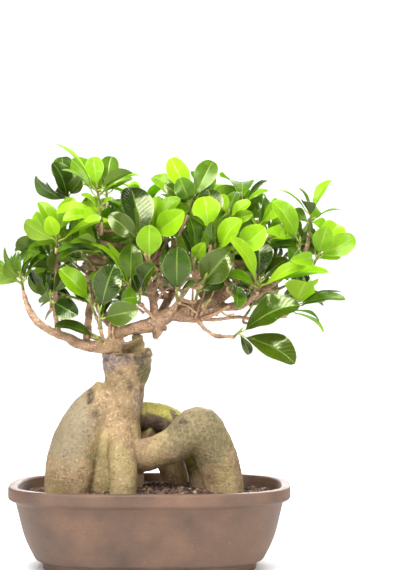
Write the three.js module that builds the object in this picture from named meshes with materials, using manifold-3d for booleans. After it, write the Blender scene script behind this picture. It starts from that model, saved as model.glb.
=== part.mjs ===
import * as THREE from 'three';
import { mergeVertices } from 'three/addons/utils/BufferGeometryUtils.js';
import Module from 'manifold-3d';

// A grafted ficus ginseng bonsai in a plain oval pot, in millimetres with +Z up.
// The origin is the centre of the pot's underside, and the side seen from the front faces -Y.

// Free space between a piece and the one that it stands in.
const SEAT_GAP = 0.35;

// The pot. Its profiles are pairs of the inset from its outline and the height.
const POT_HALF_LENGTH = 140;
const POT_HALF_DEPTH = 98;
const POT_SIDES = 28;
const POT_SQUARENESS = 3;
const POT_HEIGHT = 82;
const POT_FLOOR = 17;
const POT_OUTSIDE = [
  [34, 0], [33, 7], [27, 9], [16, 30], [7, 67], [0, 70], [0, POT_HEIGHT], [9, POT_HEIGHT],
];
const POT_INSIDE = [[34, POT_FLOOR], [24, 30], [12, 66]];
const DRAIN_RADIUS = 8;
const DRAIN_SPACING = 56;

const SOIL_EDGE = 70;
const SOIL_INSETS = [12, 34, 72];
const SOIL_MOUND = 10;
const SOIL_LUMP = 0.9;

// The wood: sides of its limbs, and how far the roots' sections are from round.
const TRUNK_SIDES = 13;
const ROOT_SIDES = 9;
const THICK_BRANCH = 4;
const THICK_BRANCH_SIDES = 6;
const BRANCH_SIDES = 4;
const TWIG_SIDES = 3;
const ROOT_UNEVENNESS = 0.02;

// A twig starts no thicker than this share of its branch, and is bent by shares of its span.
const TWIG_START_SHARE = 0.8;
const TWIG_START_RADIUS = 1.8;
const TWIG_START_PER_SPAN = 0.012;
const TWIG_BEND_SHARE = 0.4;
const TWIG_SWAY = 0.08;
const TWIG_NECK = 2;
const TWIG_DROP_WEIGHT = 1.5;

const SHOOT_RADIUS = 1.5;
const SHOOT_TAPER = 0.35;
const SHOOT_LENGTHS = [13, 18];
const SHOOT_UPTURN = 0.7;
const SHOOT_SPACING = 34;
const SHOOT_ROOM = 11;

// The dome of foliage over which the shoots that are not set by eye are spread.
const DOME_CENTRE = [24, 20, 298];
const DOME_RADII = [152, 86, 84];
const DOME_LOWEST = -0.42;
const DOME_DEPTHS = [0.8, 1];
const DOME_SHOOTS = 44;
const DOME_LEAVES = 8;
const MIDDLE_YOUTH = 0.35;
const YOUTH_WITH_HEIGHT = 0.5;
const YOUTH_SPREAD = 0.4;
const SEED = 2580;

// A leaf, with shares of its whole length or of its blade.
const LEAF_WIDTH_SHARE = 0.5;
const PETIOLE_SHARE = 0.15;
const PETIOLE_RADIUS = 0.8;
const LEAF_ARCH_SHARE = 0.09;
const LEAF_FOLD = THREE.MathUtils.degToRad(17);
const OUTLINE_SKEW = 1.2;
const OUTLINE_BLUNTNESS = 0.75;
const RIB_ABOVE = 0.5;
const RIB_BELOW = 1.1;
const LONG_BLADE = 42;
const LONG_BLADE_RINGS = [0.22, 0.5, 0.78];
const SHORT_BLADE_RINGS = [0.32, 0.7];

// How the other leaves stand on a shoot: lengths and spreads are for its foot and its end.
const GOLDEN_ANGLE = Math.PI * (3 - Math.sqrt(5));
const LEAF_LENGTHS = [47, 31];
const LEAF_LENGTH_SPREAD = 0.12;
const LEAF_SPREADS = [1.35, 0.5];
const LEAF_TURNS = [0, 0.45, -0.45, 0.9, -0.9, 1.5, -1.5, 2.2, -2.2, 3];
const FULL_LENGTH_TRIES = 5;
const SHORTENED = 0.8;
const DEPTH_SHIFTS = [0, -6, 6, -12, 12, -18, 18, -24, 24, -30, 30];
const OUTWARD_FACE = 0.9;
const UPWARD_FACE = 0.6;

// How leaves are kept apart. Near its foot a leaf may crowd the leaves of its own shoot.
const LEAF_CLEARANCE = 4.6;
const OWN_CLEARANCE = 2.4;
const WOOD_CLEARANCE = 2.4;
const CROWDED_SHARE = 0.35;
const SAMPLE_SHARES = [0.15, 0.3, 0.45, 0.6, 0.75, 0.9];
const SAMPLE_SIDES = [-1, -0.5, 0, 0.5, 1];
const MIDDLE_SAMPLE = 17;
const WOOD_STEP = 3;

// The level view from the front, and what stays open in it to bare wood or daylight: the left,
// bottom, right and top of each window, at the trunk's scale.
const VIEW_MIDDLE = [50, 0, 280];
const VIEW_DISTANCE = 1700;
const OPEN_WINDOWS = [
  [-100, 205, -45, 238], [-45, 205, -5, 250], [-5, 205, 30, 272], [30, 205, 84, 264],
  [84, 190, 210, 258], [-26, 384, 2, 430], [66, 388, 108, 430], [108, 374, 142, 430],
];
const CLEAR_OF_FRONT = 4;

const FRONT = [0, -1, 0.15];
const FRONT_UP = [0, -1, 0.9];
const FRONT_LEFT = [-0.8, -1, 0.2];
const FRONT_RIGHT = [0.8, -1, 0.2];
const NEARLY_UP = [0, -0.6, 1];
const UP = [0, -0.3, 1];
const UP_LEFT = [-0.8, -0.2, 0.8];
const UP_RIGHT = [0.8, -0.2, 0.8];
const RIGHT = [1, -0.25, 0.3];
const UP_FRONT = [0, -0.8, 1];
const GLOSSY = [0.3, -1, 0.55];
const BACK_UP = [-0.2, 0.5, 0.8];

// Each root or branch is a list of places along its middle: x, y, z and its radius there.
// The first root is the trunk itself.
const ROOTS = {
  trunk: [
    [-23, 0, 212, 25.2], [-24, 0, 199, 24.3], [-25, 0, 186, 21], [-26, 0, 174, 20.5],
    [-30, 0, 160, 22], [-36, 2, 142, 26], [-38, 2, 115, 31], [-38, 2, 85, 33], [-38, 2, 56, 30],
  ],
  left: [
    [-42, -3, 173, 14], [-52, -5, 160, 20], [-62, -8, 142, 25],
    [-72, -10, 118, 27], [-78, -12, 90, 27], [-80, -12, 58, 23],
  ],
  mossy: [
    [-25, 14, 150, 12], [0, 24, 146, 14.5], [20, 24, 140, 14.5],
    [40, 20, 122, 16], [54, 12, 100, 18], [58, 6, 60, 16],
  ],
  knee: [
    [-26, -10, 108, 17], [0, -18, 113, 16], [24, -20, 122, 17], [47, -18, 137, 23], [56, -16, 129, 22],
    [65, -14, 112, 21], [72, -12, 92, 20], [76, -10, 58, 18],
  ],
  back: [[-35, 22, 150, 15], [-45, 42, 125, 17], [-50, 54, 95, 18], [-52, 58, 58, 16]],
  back_right: [[-10, 20, 132, 13], [12, 42, 110, 14], [24, 52, 85, 14], [28, 55, 58, 12]],
  front: [[-30, -14, 135, 12], [-27, -34, 112, 14], [-25, -42, 88, 14], [-25, -45, 58, 12]],
};

const BRANCHES = {
  scion_left: [
    [-26.5, -6, 217, 7.8], [-38, -6, 219, 7.6], [-52, -8, 218.5, 6.2], [-68, -10, 221, 5.2],
    [-82, -12, 228, 4.4], [-95, -14, 233, 4], [-108, -14, 241, 3.6], [-119, -11, 253, 3],
    [-125, -8, 269, 2.4],
  ],
  lip: [[-12, 0, 204, 10], [-4.5, -2, 211, 6.5], [-2, -3, 218, 2.2]],
  nub: [[-42, -3, 184, 7], [-48, -4, 183.5, 3.5], [-53.5, -4, 182.5, 1]],
  scion_right: [[-14, 2, 207, 9], [-18, 1, 222, 8], [-26, 0, 227, 6]],
  main: [
    [-38, 0, 220, 7], [-28, 0, 228, 7.2], [-15, 0, 235.5, 7.2], [-2, -1, 239, 7.5],
    [8, -2, 244, 8], [20, -1, 251, 7], [35, 0, 256, 7.2], [50, 2, 259, 6.2], [62, 6, 262, 5.2],
    [76, 12, 270, 4.4], [86, 18, 282, 4], [91, 24, 297, 3.4], [96, 28, 313, 2.6],
  ],
  upright: [[5, 0, 247, 5.2], [3.5, 0, 260, 4.2], [2, 0, 271, 3.8], [-1, 2, 285, 2.6], [-4, 6, 302, 2]],
  upright_fork: [[2, 0, 271, 3], [8, -2, 283, 2.2], [12, -6, 296, 1.8]],
  knob: [[7, -3, 247, 6.5], [8, -5, 237, 6], [5, -5, 226, 2.6]],
  knob_stub: [[10, -6, 238, 3.4], [17, -7, 236, 2.6]],
  crossing: [[-9, -9, 261, 1.6], [1, -9.5, 250, 1.8], [10, -7, 239, 2]],
  diagonal: [
    [16, -7, 244, 2.6], [22, -9, 255, 2.4], [30, -12, 266, 2.3], [38, -14, 277, 2.1], [46, -17, 290, 1.8],
  ],
  under: [
    [20, -3, 249, 4], [36, -4, 246, 3.3], [48, -4, 247.5, 3], [65, -4, 245.5, 2.2],
    [90, -2, 248, 1.9], [112, 4, 243, 1.7], [135, 7, 249, 1.5],
  ],
  middle: [
    [44, -3, 251, 3.2], [62, -4, 253, 2.7], [75, -5, 256.5, 2.4], [90, -8, 257, 2.2],
    [100, -11, 265, 2], [106, -13, 273, 1.8],
  ],
  drooping: [
    [46, -4, 247, 2.6], [53, -7, 238, 2], [58, -9, 234, 1.9], [67, -12, 229.5, 1.9], [83, -15, 229, 1.7],
  ],
  right: [
    [56, 4, 260, 3.6], [80, 10, 259, 3.2], [105, 9, 268, 2.9], [128, 6, 284, 2.6],
    [148, 4, 299, 2.4], [156, 2, 315, 2.2], [159, 0, 332, 1.8],
  ],
  back_middle: [[8, 3, 245, 5], [16, 34, 262, 4.2], [30, 66, 284, 3.4], [44, 92, 304, 2.4]],
  back_left: [[-30, 4, 228, 5], [-48, 32, 250, 4.2], [-66, 62, 276, 3.4], [-84, 86, 300, 2.4]],
  back_right: [[50, 6, 260, 4.6], [78, 38, 276, 3.8], [104, 66, 292, 3], [126, 88, 306, 2.2]],
  left_upright: [
    [-64, -8, 221, 4], [-62, 8, 245, 3.8], [-60, 12, 275, 3.4], [-61, 12, 310, 2.8], [-56, 10, 338, 2],
  ],
  left_edge: [[-90, -13, 231, 3], [-94, -8, 254, 2.7], [-93, -6, 290, 2.4], [-90, -8, 320, 1.8]],
  left_second: [[-46, -2, 224, 3], [-62, 0, 231, 2.6], [-78, 4, 239, 2.4], [-92, 6, 251, 2]],
  left_twig: [[-46, -8, 220, 2], [-47, -13, 228, 1.9], [-50, -19, 240, 1.7], [-53, -23, 249, 1.5]],
  aerial: [
    [-46, -8, 221, 1.8], [-42, -11, 226, 1.5], [-33, -12, 224, 1.6], [-23, -12, 222, 1.6],
    [-7, -7, 228, 1.6],
  ],
};

// Shoots set by eye, most of them at the front: their two ends, how young their leaves are
// from 0 to 1, and each leaf's tip with the way its upper face looks, and its width beside
// the usual one where it differs.
const HAND_SHOOTS = {
  crown_left: {
    ends: [[-49, -24, 359], [-51, -30, 375]], youth: 0.6,
    leaves: [
      [-83, -44, 394, UP_RIGHT, 0.5], [-32, -40, 379, UP_LEFT, 0.7], [-17, -22, 387, FRONT_UP, 0.9],
      [-90, -40, 419, UP_RIGHT, 0.45], [-16, -44, 391, BACK_UP, 0.85], [-55, -22, 407, FRONT, 1.15],
    ],
  },
  crown_left_back: {
    ends: [[-44, 20, 364], [-45, 20, 381]], youth: 0.45,
    leaves: [[-13, 5, 392, UP, 0.8], [-78, 2, 406, FRONT, 1.1], [-40, 28, 411, FRONT, 1.3]],
  },
  left_back: {
    ends: [[-80, 4, 356], [-82, 2, 370]], youth: 0.15,
    leaves: [[-96, -10, 401, FRONT_RIGHT, 1.1], [-90, 24, 411, FRONT], [-66, -16, 388, FRONT]],
  },
  left_arch: {
    ends: [[-46, -40, 342], [-48, -46, 356]], youth: 0.7,
    leaves: [
      [-81, -68, 344, FRONT_UP, 0.8], [-60, -76, 341, FRONT], [-90, -46, 352, UP_FRONT, 0.9],
      [-64, -58, 368, UP_FRONT, 0.9], [-34, -58, 364, FRONT_UP, 0.8],
    ],
  },
  left_lime: {
    ends: [[-91, -28, 317], [-90, -32, 330]], youth: 0.7,
    leaves: [
      [-39, -50, 345, UP_FRONT, 0.5], [-97, -50, 347, FRONT, 1.1], [-108, -30, 362, FRONT_RIGHT],
      [-74, -40, 366, FRONT, 0.9],
    ],
  },
  gloss: {
    ends: [[-4, -40, 312], [-7, -46, 324]], youth: 0.05,
    leaves: [[-18, -16, 378, GLOSSY, 1.05], [-38, -50, 349, FRONT], [-26, -24, 356, FRONT]],
  },
  pale_back: {
    ends: [[1, -46, 295], [1, -52, 307]], youth: 0.4,
    leaves: [[1, -60, 338, FRONT, 1.45]],
  },
  lime_pair: {
    ends: [[6, -10, 322], [0, -16, 334]], youth: 0.6,
    leaves: [[34, -46, 351, FRONT, 1.05], [31, -30, 365, FRONT_UP, 0.95]],
  },
  crown_middle: {
    ends: [[38, -8, 350], [43, -12, 366]], youth: 0.55,
    leaves: [
      [2, 4, 389, FRONT_UP, 0.9], [15, -16, 380, FRONT, 0.9], [30, -38, 386, FRONT, 1.5],
      [18, 22, 394, UP, 0.5], [63, 6, 405, FRONT, 0.95], [21, -4, 407, FRONT, 0.95],
    ],
  },
  centre_round: {
    ends: [[60, -30, 320], [59, -36, 332]], youth: 0.6,
    leaves: [
      [78, -40, 350, UP_LEFT, 0.7], [42, -52, 346, UP_FRONT, 0.8], [58, 2, 376, UP_FRONT, 1.1],
      [53, -8, 367, FRONT, 1.6],
    ],
  },
  twig_end: {
    ends: [[46, -20, 296], [45, -26, 307]], youth: 0.5,
    leaves: [
      [13, -34, 336, UP_RIGHT, 0.5], [54, -54, 320, FRONT, 0.9], [33, -32, 333, UP_FRONT],
      [40, -36, 346, FRONT_RIGHT, 0.9],
    ],
  },
  hanging: {
    ends: [[29, -22, 264], [27, -30, 272]], youth: 0.2, extra: 1,
    leaves: [[14, -18, 316, FRONT_LEFT, 0.6], [28, -42, 317, FRONT, 1.25]],
  },
  dark_pair: {
    ends: [[46, -18, 266], [49, -29, 279]], youth: 0.1, extra: 1,
    leaves: [[73, -16, 286, FRONT], [78, -46, 313, FRONT, 1.2]],
  },
  lime_middle: {
    ends: [[66, -40, 304], [65, -48, 317]], youth: 0.7,
    leaves: [[90, -60, 343, FRONT_UP, 1.2], [62, -60, 341, FRONT_LEFT, 0.9]],
  },
  lime_right: {
    ends: [[82, -38, 303], [84, -44, 317]], youth: 0.7,
    leaves: [[113, -54, 336, FRONT, 1.3], [80, -76, 325, FRONT_UP, 0.7]],
  },
  lime_behind: {
    ends: [[78, -10, 338], [78, -14, 351]], youth: 0.6,
    leaves: [
      [102, -30, 350, FRONT, 0.9], [100, -20, 363, FRONT_UP, 1.1], [69, -2, 371, FRONT],
      [87, 8, 374, UP, 0.8],
    ],
  },
  crown_right: {
    ends: [[94, 6, 354], [92, 4, 368]], youth: 0.5,
    leaves: [
      [118, -8, 374, UP_FRONT, 0.7], [125, 40, 388, UP, 0.4], [92, 48, 390, FRONT],
      [71, 54, 392, FRONT_RIGHT, 0.8],
    ],
  },
  right_fold: {
    ends: [[110, -14, 327], [108, -18, 340]], youth: 0.5,
    leaves: [[132, -44, 327, FRONT_UP, 0.9], [127, -10, 366, FRONT_RIGHT]],
  },
  right_green: {
    ends: [[148, -26, 310], [148, -34, 323]], youth: 0.2,
    leaves: [[138, -56, 303, FRONT, 1.1], [122, -50, 362, FRONT_RIGHT]],
  },
  right_shoot: {
    ends: [[159, 0, 333], [161, -4, 353]], youth: 0.6,
    leaves: [
      [143, 16, 355, FRONT], [177, 20, 340, FRONT], [190, -14, 355, UP, 0.45],
      [152, -34, 363, UP_FRONT, 0.9], [129, -6, 376, UP_RIGHT, 0.4], [182, 10, 386, FRONT_LEFT, 0.65],
    ],
  },
  right_edge: {
    ends: [[163, -10, 301], [168, -14, 310]], youth: 0.5,
    leaves: [
      [139, -74, 304, FRONT_RIGHT, 0.45], [204, -8, 328, FRONT, 1.1], [175, -26, 338, FRONT, 1.3],
      [190, 26, 343, FRONT],
    ],
  },
  right_lime: {
    ends: [[107, -26, 274], [109, -32, 283]], youth: 0.5, extra: 0,
    leaves: [
      [158, -34, 301, FRONT_UP, 0.6], [79, -56, 325, FRONT_RIGHT, 0.5], [178, -14, 293, UP_FRONT, 0.5],
      [108, -12, 326, UP_FRONT, 1.2], [138, -18, 306, UP_FRONT, 0.9],
    ],
  },
  right_tip: {
    ends: [[137, 8, 250], [147, 6, 262]], youth: 0.7,
    leaves: [
      [174, -6, 234, UP_RIGHT, 0.8], [170, 8, 245, RIGHT, 0.8], [195, -6, 266, UP_FRONT, 0.6],
      [194, 20, 273, UP, 0.4], [156, -32, 285, BACK_UP, 1.8],
    ],
  },
  big_pair: {
    ends: [[84, -15, 229], [89, -18, 234]], youth: 0.1,
    leaves: [[146, -38, 262, FRONT_UP, 1.05], [143, -36, 203, FRONT_UP], [100, -4, 210, FRONT, 0.7]],
  },
  left_low: {
    ends: [[-53, -23, 250], [-58, -27, 264]], youth: 0.3,
    leaves: [[-72, -4, 281, FRONT, 0.9], [-87, -40, 296, FRONT_UP, 1.1]],
  },
  left_dark: {
    ends: [[-47, -30, 237], [-49, -37, 256]], youth: 0.1,
    leaves: [[-11, -54, 256, FRONT, 1.2], [-33, -46, 300, FRONT, 1.2]],
  },
  stub_leaves: {
    ends: [[-10, -13, 262], [-9, -19, 273]], youth: 0.15, extra: 1,
    leaves: [[-27, -32, 266, FRONT, 1.8], [5, -30, 299, FRONT_LEFT, 1.05]],
  },
  long_lime: {
    ends: [[-17, -16, 270], [-19, -22, 281]], youth: 0.35,
    leaves: [[-42, -14, 322, UP, 0.4], [-55, -44, 322, UP_RIGHT, 0.5], [-17, -26, 321, FRONT, 1.2]],
  },
  low_dark: {
    ends: [[-46, -14, 223], [-51, -18, 228]], youth: 0.05, extra: 0,
    leaves: [[-93, -26, 241, NEARLY_UP, 0.9]],
  },
  far_left: { ends: [[-126, -8, 275], [-128, -10, 290]], youth: 0.5, leaves: [], extra: 7 },
  edge_dark: {
    ends: [[-98, -12, 258], [-98, -16, 270]], youth: 0.1,
    leaves: [[-70, -32, 251, FRONT, 1.3], [-78, -16, 303, FRONT_RIGHT]],
  },
  back_low_left: { ends: [[-18, 38, 256], [-20, 48, 267]], youth: 0.2, leaves: [], extra: 4 },
  back_low_right: { ends: [[52, 64, 250], [56, 75, 262]], youth: 0.15, leaves: [], extra: 5 },
  back_low_far: { ends: [[98, 46, 250], [106, 54, 262]], youth: 0.25, leaves: [], extra: 4 },
  within_middle: { ends: [[8, 30, 284], [4, 34, 299]], youth: 0.25, leaves: [], extra: 4 },
  within_right: { ends: [[58, 46, 296], [62, 52, 310]], youth: 0.3, leaves: [], extra: 4 },
};

const BARK = new THREE.MeshStandardMaterial({ color: 0xa58a68, roughness: 0.85, metalness: 0 });
const CLAY = new THREE.MeshStandardMaterial({ color: 0x5a463a, roughness: 0.7, metalness: 0 });
const EARTH = new THREE.MeshStandardMaterial({ color: 0x3a2c22, roughness: 0.95, metalness: 0 });
const OLD_GREEN = new THREE.Color(0x2f6a24);
const YOUNG_GREEN = new THREE.Color(0x9ccb1e);

const wasm = await Module();
wasm.setup();

// A repeatable stream of numbers from 0 to 1.
function makeRandom(seed) {
  let state = seed;
  return () => {
    state = (state * 48271) % 2147483647;
    return state / 2147483647;
  };
}

const vector = (values) => new THREE.Vector3(values[0], values[1], values[2]);
const mix = THREE.MathUtils.lerp;

// Closes a stack of rings into one skin. A ring is a loop of points, and the last may be one point.
function skinRings(rings) {
  const positions = [];
  const starts = [];
  const faces = [];
  for (const ring of rings) {
    starts.push(positions.length / 3);
    ring.forEach((point) => positions.push(point.x, point.y, point.z));
  }
  const sides = rings[0].length;
  for (let i = 1; i + 1 < sides; i += 1) {
    faces.push(starts[0], starts[0] + i + 1, starts[0] + i);
  }
  for (let level = 0; level + 1 < rings.length; level += 1) {
    const low = starts[level];
    const high = starts[level + 1];
    for (let i = 0; i < sides; i += 1) {
      const next = (i + 1) % sides;
      if (rings[level + 1].length === 1) {
        faces.push(low + i, low + next, high);
      } else {
        faces.push(low + i, low + next, high + next, low + i, high + next, high + i);
      }
    }
  }
  const last = starts[rings.length - 1];
  for (let i = 1; i + 1 < rings[rings.length - 1].length; i += 1) {
    faces.push(last, last + i, last + i + 1);
  }
  return makeGeometry(positions, faces);
}

function makeGeometry(positions, faces) {
  const geometry = new THREE.BufferGeometry();
  geometry.setAttribute('position', new THREE.Float32BufferAttribute(positions, 3));
  geometry.setIndex(faces);
  return geometry;
}

function toSolid(geometry) {
  const bare = geometry.clone();
  bare.deleteAttribute('normal');
  bare.deleteAttribute('uv');
  const merged = mergeVertices(bare, 1e-4);
  const mesh = new wasm.Mesh({
    numProp: 3,
    vertProperties: Float32Array.from(merged.attributes.position.array),
    triVerts: Uint32Array.from(merged.index.array),
  });
  return new wasm.Manifold(mesh);
}

function toGeometry(solid) {
  const mesh = solid.getMesh();
  const geometry = new THREE.BufferGeometry();
  geometry.setAttribute('position', new THREE.BufferAttribute(Float32Array.from(mesh.vertProperties), 3));
  geometry.setIndex(new THREE.BufferAttribute(Uint32Array.from(mesh.triVerts), 1));
  const faceted = geometry.toNonIndexed();
  faceted.computeVertexNormals();
  return faceted;
}

// Joins solids into one body. A scrap or a sealed hollow left by the joining is dropped.
function joinSolids(solids) {
  const whole = solids.reduce((sum, solid) => sum.add(solid));
  const bodies = whole.decompose();
  return bodies.reduce((largest, body) => (body.volume() > largest.volume() ? body : largest));
}

// A limb is made from its run: a list of places along its middle, each with a radius.
const toRun = (places) => places.map((place) => ({ point: vector(place), radius: place[3] }));

// A limb's sections. Each one's own direction comes from its neighbours.
function limbRings(run, sides, grow, unevenness) {
  const first = run[1].point.clone().sub(run[0].point).normalize();
  const across = Math.abs(first.x) > 0.9 ? new THREE.Vector3(0, 1, 0) : new THREE.Vector3(1, 0, 0);
  return run.map(({ point, radius }, level) => {
    const before = run[Math.max(level - 1, 0)].point;
    const after = run[Math.min(level + 1, run.length - 1)].point;
    const along = after.clone().sub(before).normalize();
    across.addScaledVector(along, -across.dot(along)).normalize();
    const other = along.clone().cross(across);
    const ring = [];
    for (let i = 0; i < sides; i += 1) {
      const angle = (i / sides) * 2 * Math.PI;
      const wave = Math.sin(3 * angle + 0.9 * level) + Math.sin(2 * angle - 1.7 * level);
      const reach = (radius + grow) * (1 + unevenness * wave);
      ring.push(point.clone()
        .addScaledVector(across, reach * Math.cos(angle))
        .addScaledVector(other, reach * Math.sin(angle)));
    }
    return ring;
  });
}

function limbSolid(run, sides, grow = 0, unevenness = 0) {
  return toSolid(skinRings(limbRings(run, sides, grow, unevenness)));
}

const rootSolid = (run, index, grow) =>
  limbSolid(run, index === 0 ? TRUNK_SIDES : ROOT_SIDES, grow, ROOT_UNEVENNESS);

// Pot and soil share one outline: a rounded oblong drawn in by an inset.
function oblongRing(inset, height, lift = () => 0) {
  const ring = [];
  for (let i = 0; i < POT_SIDES; i += 1) {
    const angle = (i / POT_SIDES) * 2 * Math.PI;
    const c = Math.cos(angle);
    const s = Math.sin(angle);
    const reach = (Math.abs(c) ** POT_SQUARENESS + Math.abs(s) ** POT_SQUARENESS) ** (-1 / POT_SQUARENESS);
    const x = (POT_HALF_LENGTH - inset) * reach * c;
    const y = (POT_HALF_DEPTH - inset) * reach * s;
    ring.push(new THREE.Vector3(x, y, height + lift(x, y)));
  }
  return ring;
}

function makePot() {
  const profile = [...POT_OUTSIDE, ...[...POT_INSIDE].reverse()];
  let pot = toSolid(skinRings(profile.map(([inset, height]) => oblongRing(inset, height))));
  for (const x of [-DRAIN_SPACING, DRAIN_SPACING]) {
    const drill = new THREE.CylinderGeometry(DRAIN_RADIUS, DRAIN_RADIUS, 3 * POT_FLOOR, 12);
    drill.rotateX(Math.PI / 2).translate(x, 0, 0);
    pot = pot.subtract(toSolid(drill));
  }
  return pot;
}

// The soil rises a little towards the middle, in low uneven lumps.
function soilLift(x, y) {
  const nearness = Math.max(0, 1 - Math.hypot(x / POT_HALF_LENGTH, y / POT_HALF_DEPTH));
  return SOIL_MOUND * nearness + SOIL_LUMP * Math.sin(x / 9) * Math.cos(y / 7);
}

function makeSoil(rootSolids) {
  const sides = POT_INSIDE.map(([inset, height]) => oblongRing(inset + SEAT_GAP, height + SEAT_GAP));
  const surface = SOIL_INSETS.map((inset, i) =>
    oblongRing(inset + SEAT_GAP, SOIL_EDGE, i === 0 ? undefined : soilLift));
  let soil = toSolid(skinRings([...sides, ...surface]));
  for (const root of rootSolids) {
    soil = soil.subtract(root);
  }
  return soil;
}

// A shoot's own wood, from where it leaves its twig to its end.
function shootRun(shoot) {
  return [0, 1].map((share) => ({
    point: shoot.from.clone().lerp(shoot.to, share),
    radius: SHOOT_RADIUS * (1 - SHOOT_TAPER * share),
  }));
}

// More shoots, spread evenly over a flattened dome where no other shoot is near.
function addDomeShoots(shoots, branchPlaces, random) {
  const centre = vector(DOME_CENTRE);
  for (let i = 0; i < DOME_SHOOTS; i += 1) {
    const rise = mix(1, DOME_LOWEST, (i + 0.5) / DOME_SHOOTS);
    const level = Math.sqrt(1 - rise * rise);
    const angle = i * GOLDEN_ANGLE + 0.4 * random();
    const reach = mix(...DOME_DEPTHS, random());
    const outward = new THREE.Vector3(level * Math.cos(angle), level * Math.sin(angle), rise);
    const to = vector(DOME_RADII).multiply(outward).multiplyScalar(reach).add(centre);
    const heading = outward.clone().add(new THREE.Vector3(0, 0, SHOOT_UPTURN)).normalize();
    const from = to.clone().addScaledVector(heading, -mix(...SHOOT_LENGTHS, random()));
    const youth = MIDDLE_YOUTH + YOUTH_WITH_HEIGHT * rise + YOUTH_SPREAD * (random() - 0.5);
    const middle = from.clone().lerp(to, 0.5);
    const spaced = shoots.every((other) => other.to.distanceTo(to) > SHOOT_SPACING);
    const open = branchPlaces.every((place) => place.point.distanceTo(middle) > place.radius + SHOOT_ROOM);
    if (spaced && open) {
      shoots.push({
        name: `dome_${i}`,
        from,
        to,
        youth: THREE.MathUtils.clamp(youth, 0, 1),
        tips: [],
        extra: DOME_LEAVES,
      });
    }
  }
}

function layOutShoots(branchPlaces, random) {
  const shoots = Object.entries(HAND_SHOOTS).map(([name, { ends, youth, leaves, extra }]) => ({
    name,
    from: vector(ends[0]),
    to: vector(ends[1]),
    youth,
    tips: leaves,
    extra: extra ?? (leaves.length < 3 ? 2 : 1),
  }));
  addDomeShoots(shoots, branchPlaces, random);
  return shoots;
}

// The twig that carries a shoot leaves the nearest wood that is not far above it.
function twigRun(shoot, wood, random) {
  let best = null;
  for (const place of wood) {
    const above = Math.max(0, place.point.z - shoot.from.z);
    const score = place.point.distanceTo(shoot.from) + TWIG_DROP_WEIGHT * above;
    if (best === null || score < best.score) {
      best = { score, place };
    }
  }
  const start = best.place.point;
  const heading = shoot.to.clone().sub(shoot.from).normalize();
  const end = shoot.from.clone().addScaledVector(heading, -SEAT_GAP);
  const span = start.distanceTo(end);
  const bend = end.clone().addScaledVector(heading, -TWIG_BEND_SHARE * span);
  bend.x += TWIG_SWAY * span * (random() - 0.5);
  bend.y += TWIG_SWAY * span * (random() - 0.5);
  const widest = TWIG_START_RADIUS + TWIG_START_PER_SPAN * span;
  const radius = Math.min(TWIG_START_SHARE * best.place.radius, widest);
  const neck = end.clone().addScaledVector(heading, -TWIG_NECK);
  const curve = new THREE.QuadraticBezierCurve3(start, bend, neck);
  const run = [0, 0.5, 1].map((share) => ({
    point: curve.getPoint(share),
    radius: mix(radius, SHOOT_RADIUS, share),
  }));
  return [...run, { point: end, radius: SHOOT_RADIUS }];
}

// A leaf's own directions: along it, out of its upper face, and across it.
function leafFrame(root, tip, face, width) {
  const length = tip.distanceTo(root);
  const along = tip.clone().sub(root).divideScalar(length);
  const out = face.clone().addScaledVector(along, -face.dot(along)).normalize();
  const across = out.clone().cross(along);
  const base = root.clone().addScaledVector(along, PETIOLE_SHARE * length);
  const blade = length * (1 - PETIOLE_SHARE);
  const halfWidth = 0.5 * LEAF_WIDTH_SHARE * length * width;
  return { root, base, along, out, across, blade, halfWidth };
}

// How wide the blade is at a share of its length: fullest a little past the middle.
const leafOutline = (share) => Math.max(0, Math.sin(Math.PI * share ** OUTLINE_SKEW)) ** OUTLINE_BLUNTNESS;

// A place on the blade: share runs from its base to its tip, and side from -1 to 1 across it.
function bladePoint(leaf, share, side) {
  const reach = leaf.halfWidth * leafOutline(share);
  const rise = 4 * LEAF_ARCH_SHARE * leaf.blade * share * (1 - share);
  return leaf.base.clone()
    .addScaledVector(leaf.along, leaf.blade * share)
    .addScaledVector(leaf.across, side * reach * Math.cos(LEAF_FOLD))
    .addScaledVector(leaf.out, rise + Math.abs(side) * reach * Math.sin(LEAF_FOLD));
}

// Places over a leaf that stand for it where leaves are kept apart.
function leafSamples(leaf) {
  const samples = SAMPLE_SHARES.flatMap((share) => SAMPLE_SIDES.map((side) => ({
    point: bladePoint(leaf, share, side),
    crowded: share < CROWDED_SHARE,
  })));
  const tip = { point: bladePoint(leaf, 1, 0), crowded: false };
  const base = { point: leaf.base, crowded: true };
  return [...samples, tip, base];
}

// How far a leaf's sampled places lie from the one at its middle.
const reachOf = (samples) =>
  Math.max(...samples.map(({ point }) => point.distanceTo(samples[MIDDLE_SAMPLE].point)));

function isClear(samples, shoot, placed, wood) {
  const middle = samples[MIDDLE_SAMPLE].point;
  const reach = reachOf(samples);
  for (const place of wood) {
    const own = place.shoot === shoot;
    const limit = place.radius + WOOD_CLEARANCE;
    if (place.point.distanceTo(middle) > limit + reach) continue;
    for (const sample of samples) {
      if (own && sample.crowded) continue;
      if (sample.point.distanceTo(place.point) < limit) return false;
    }
  }
  for (const other of placed) {
    const apart = other.samples[MIDDLE_SAMPLE].point.distanceTo(middle);
    if (apart > reach + other.reach + LEAF_CLEARANCE) continue;
    const own = other.shoot === shoot;
    const limit = own ? OWN_CLEARANCE : LEAF_CLEARANCE;
    for (const sample of samples) {
      if (own && sample.crowded) continue;
      for (const theirs of other.samples) {
        if (own && theirs.crowded) continue;
        if (sample.point.distanceTo(theirs.point) < limit) return false;
      }
    }
  }
  return true;
}

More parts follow.
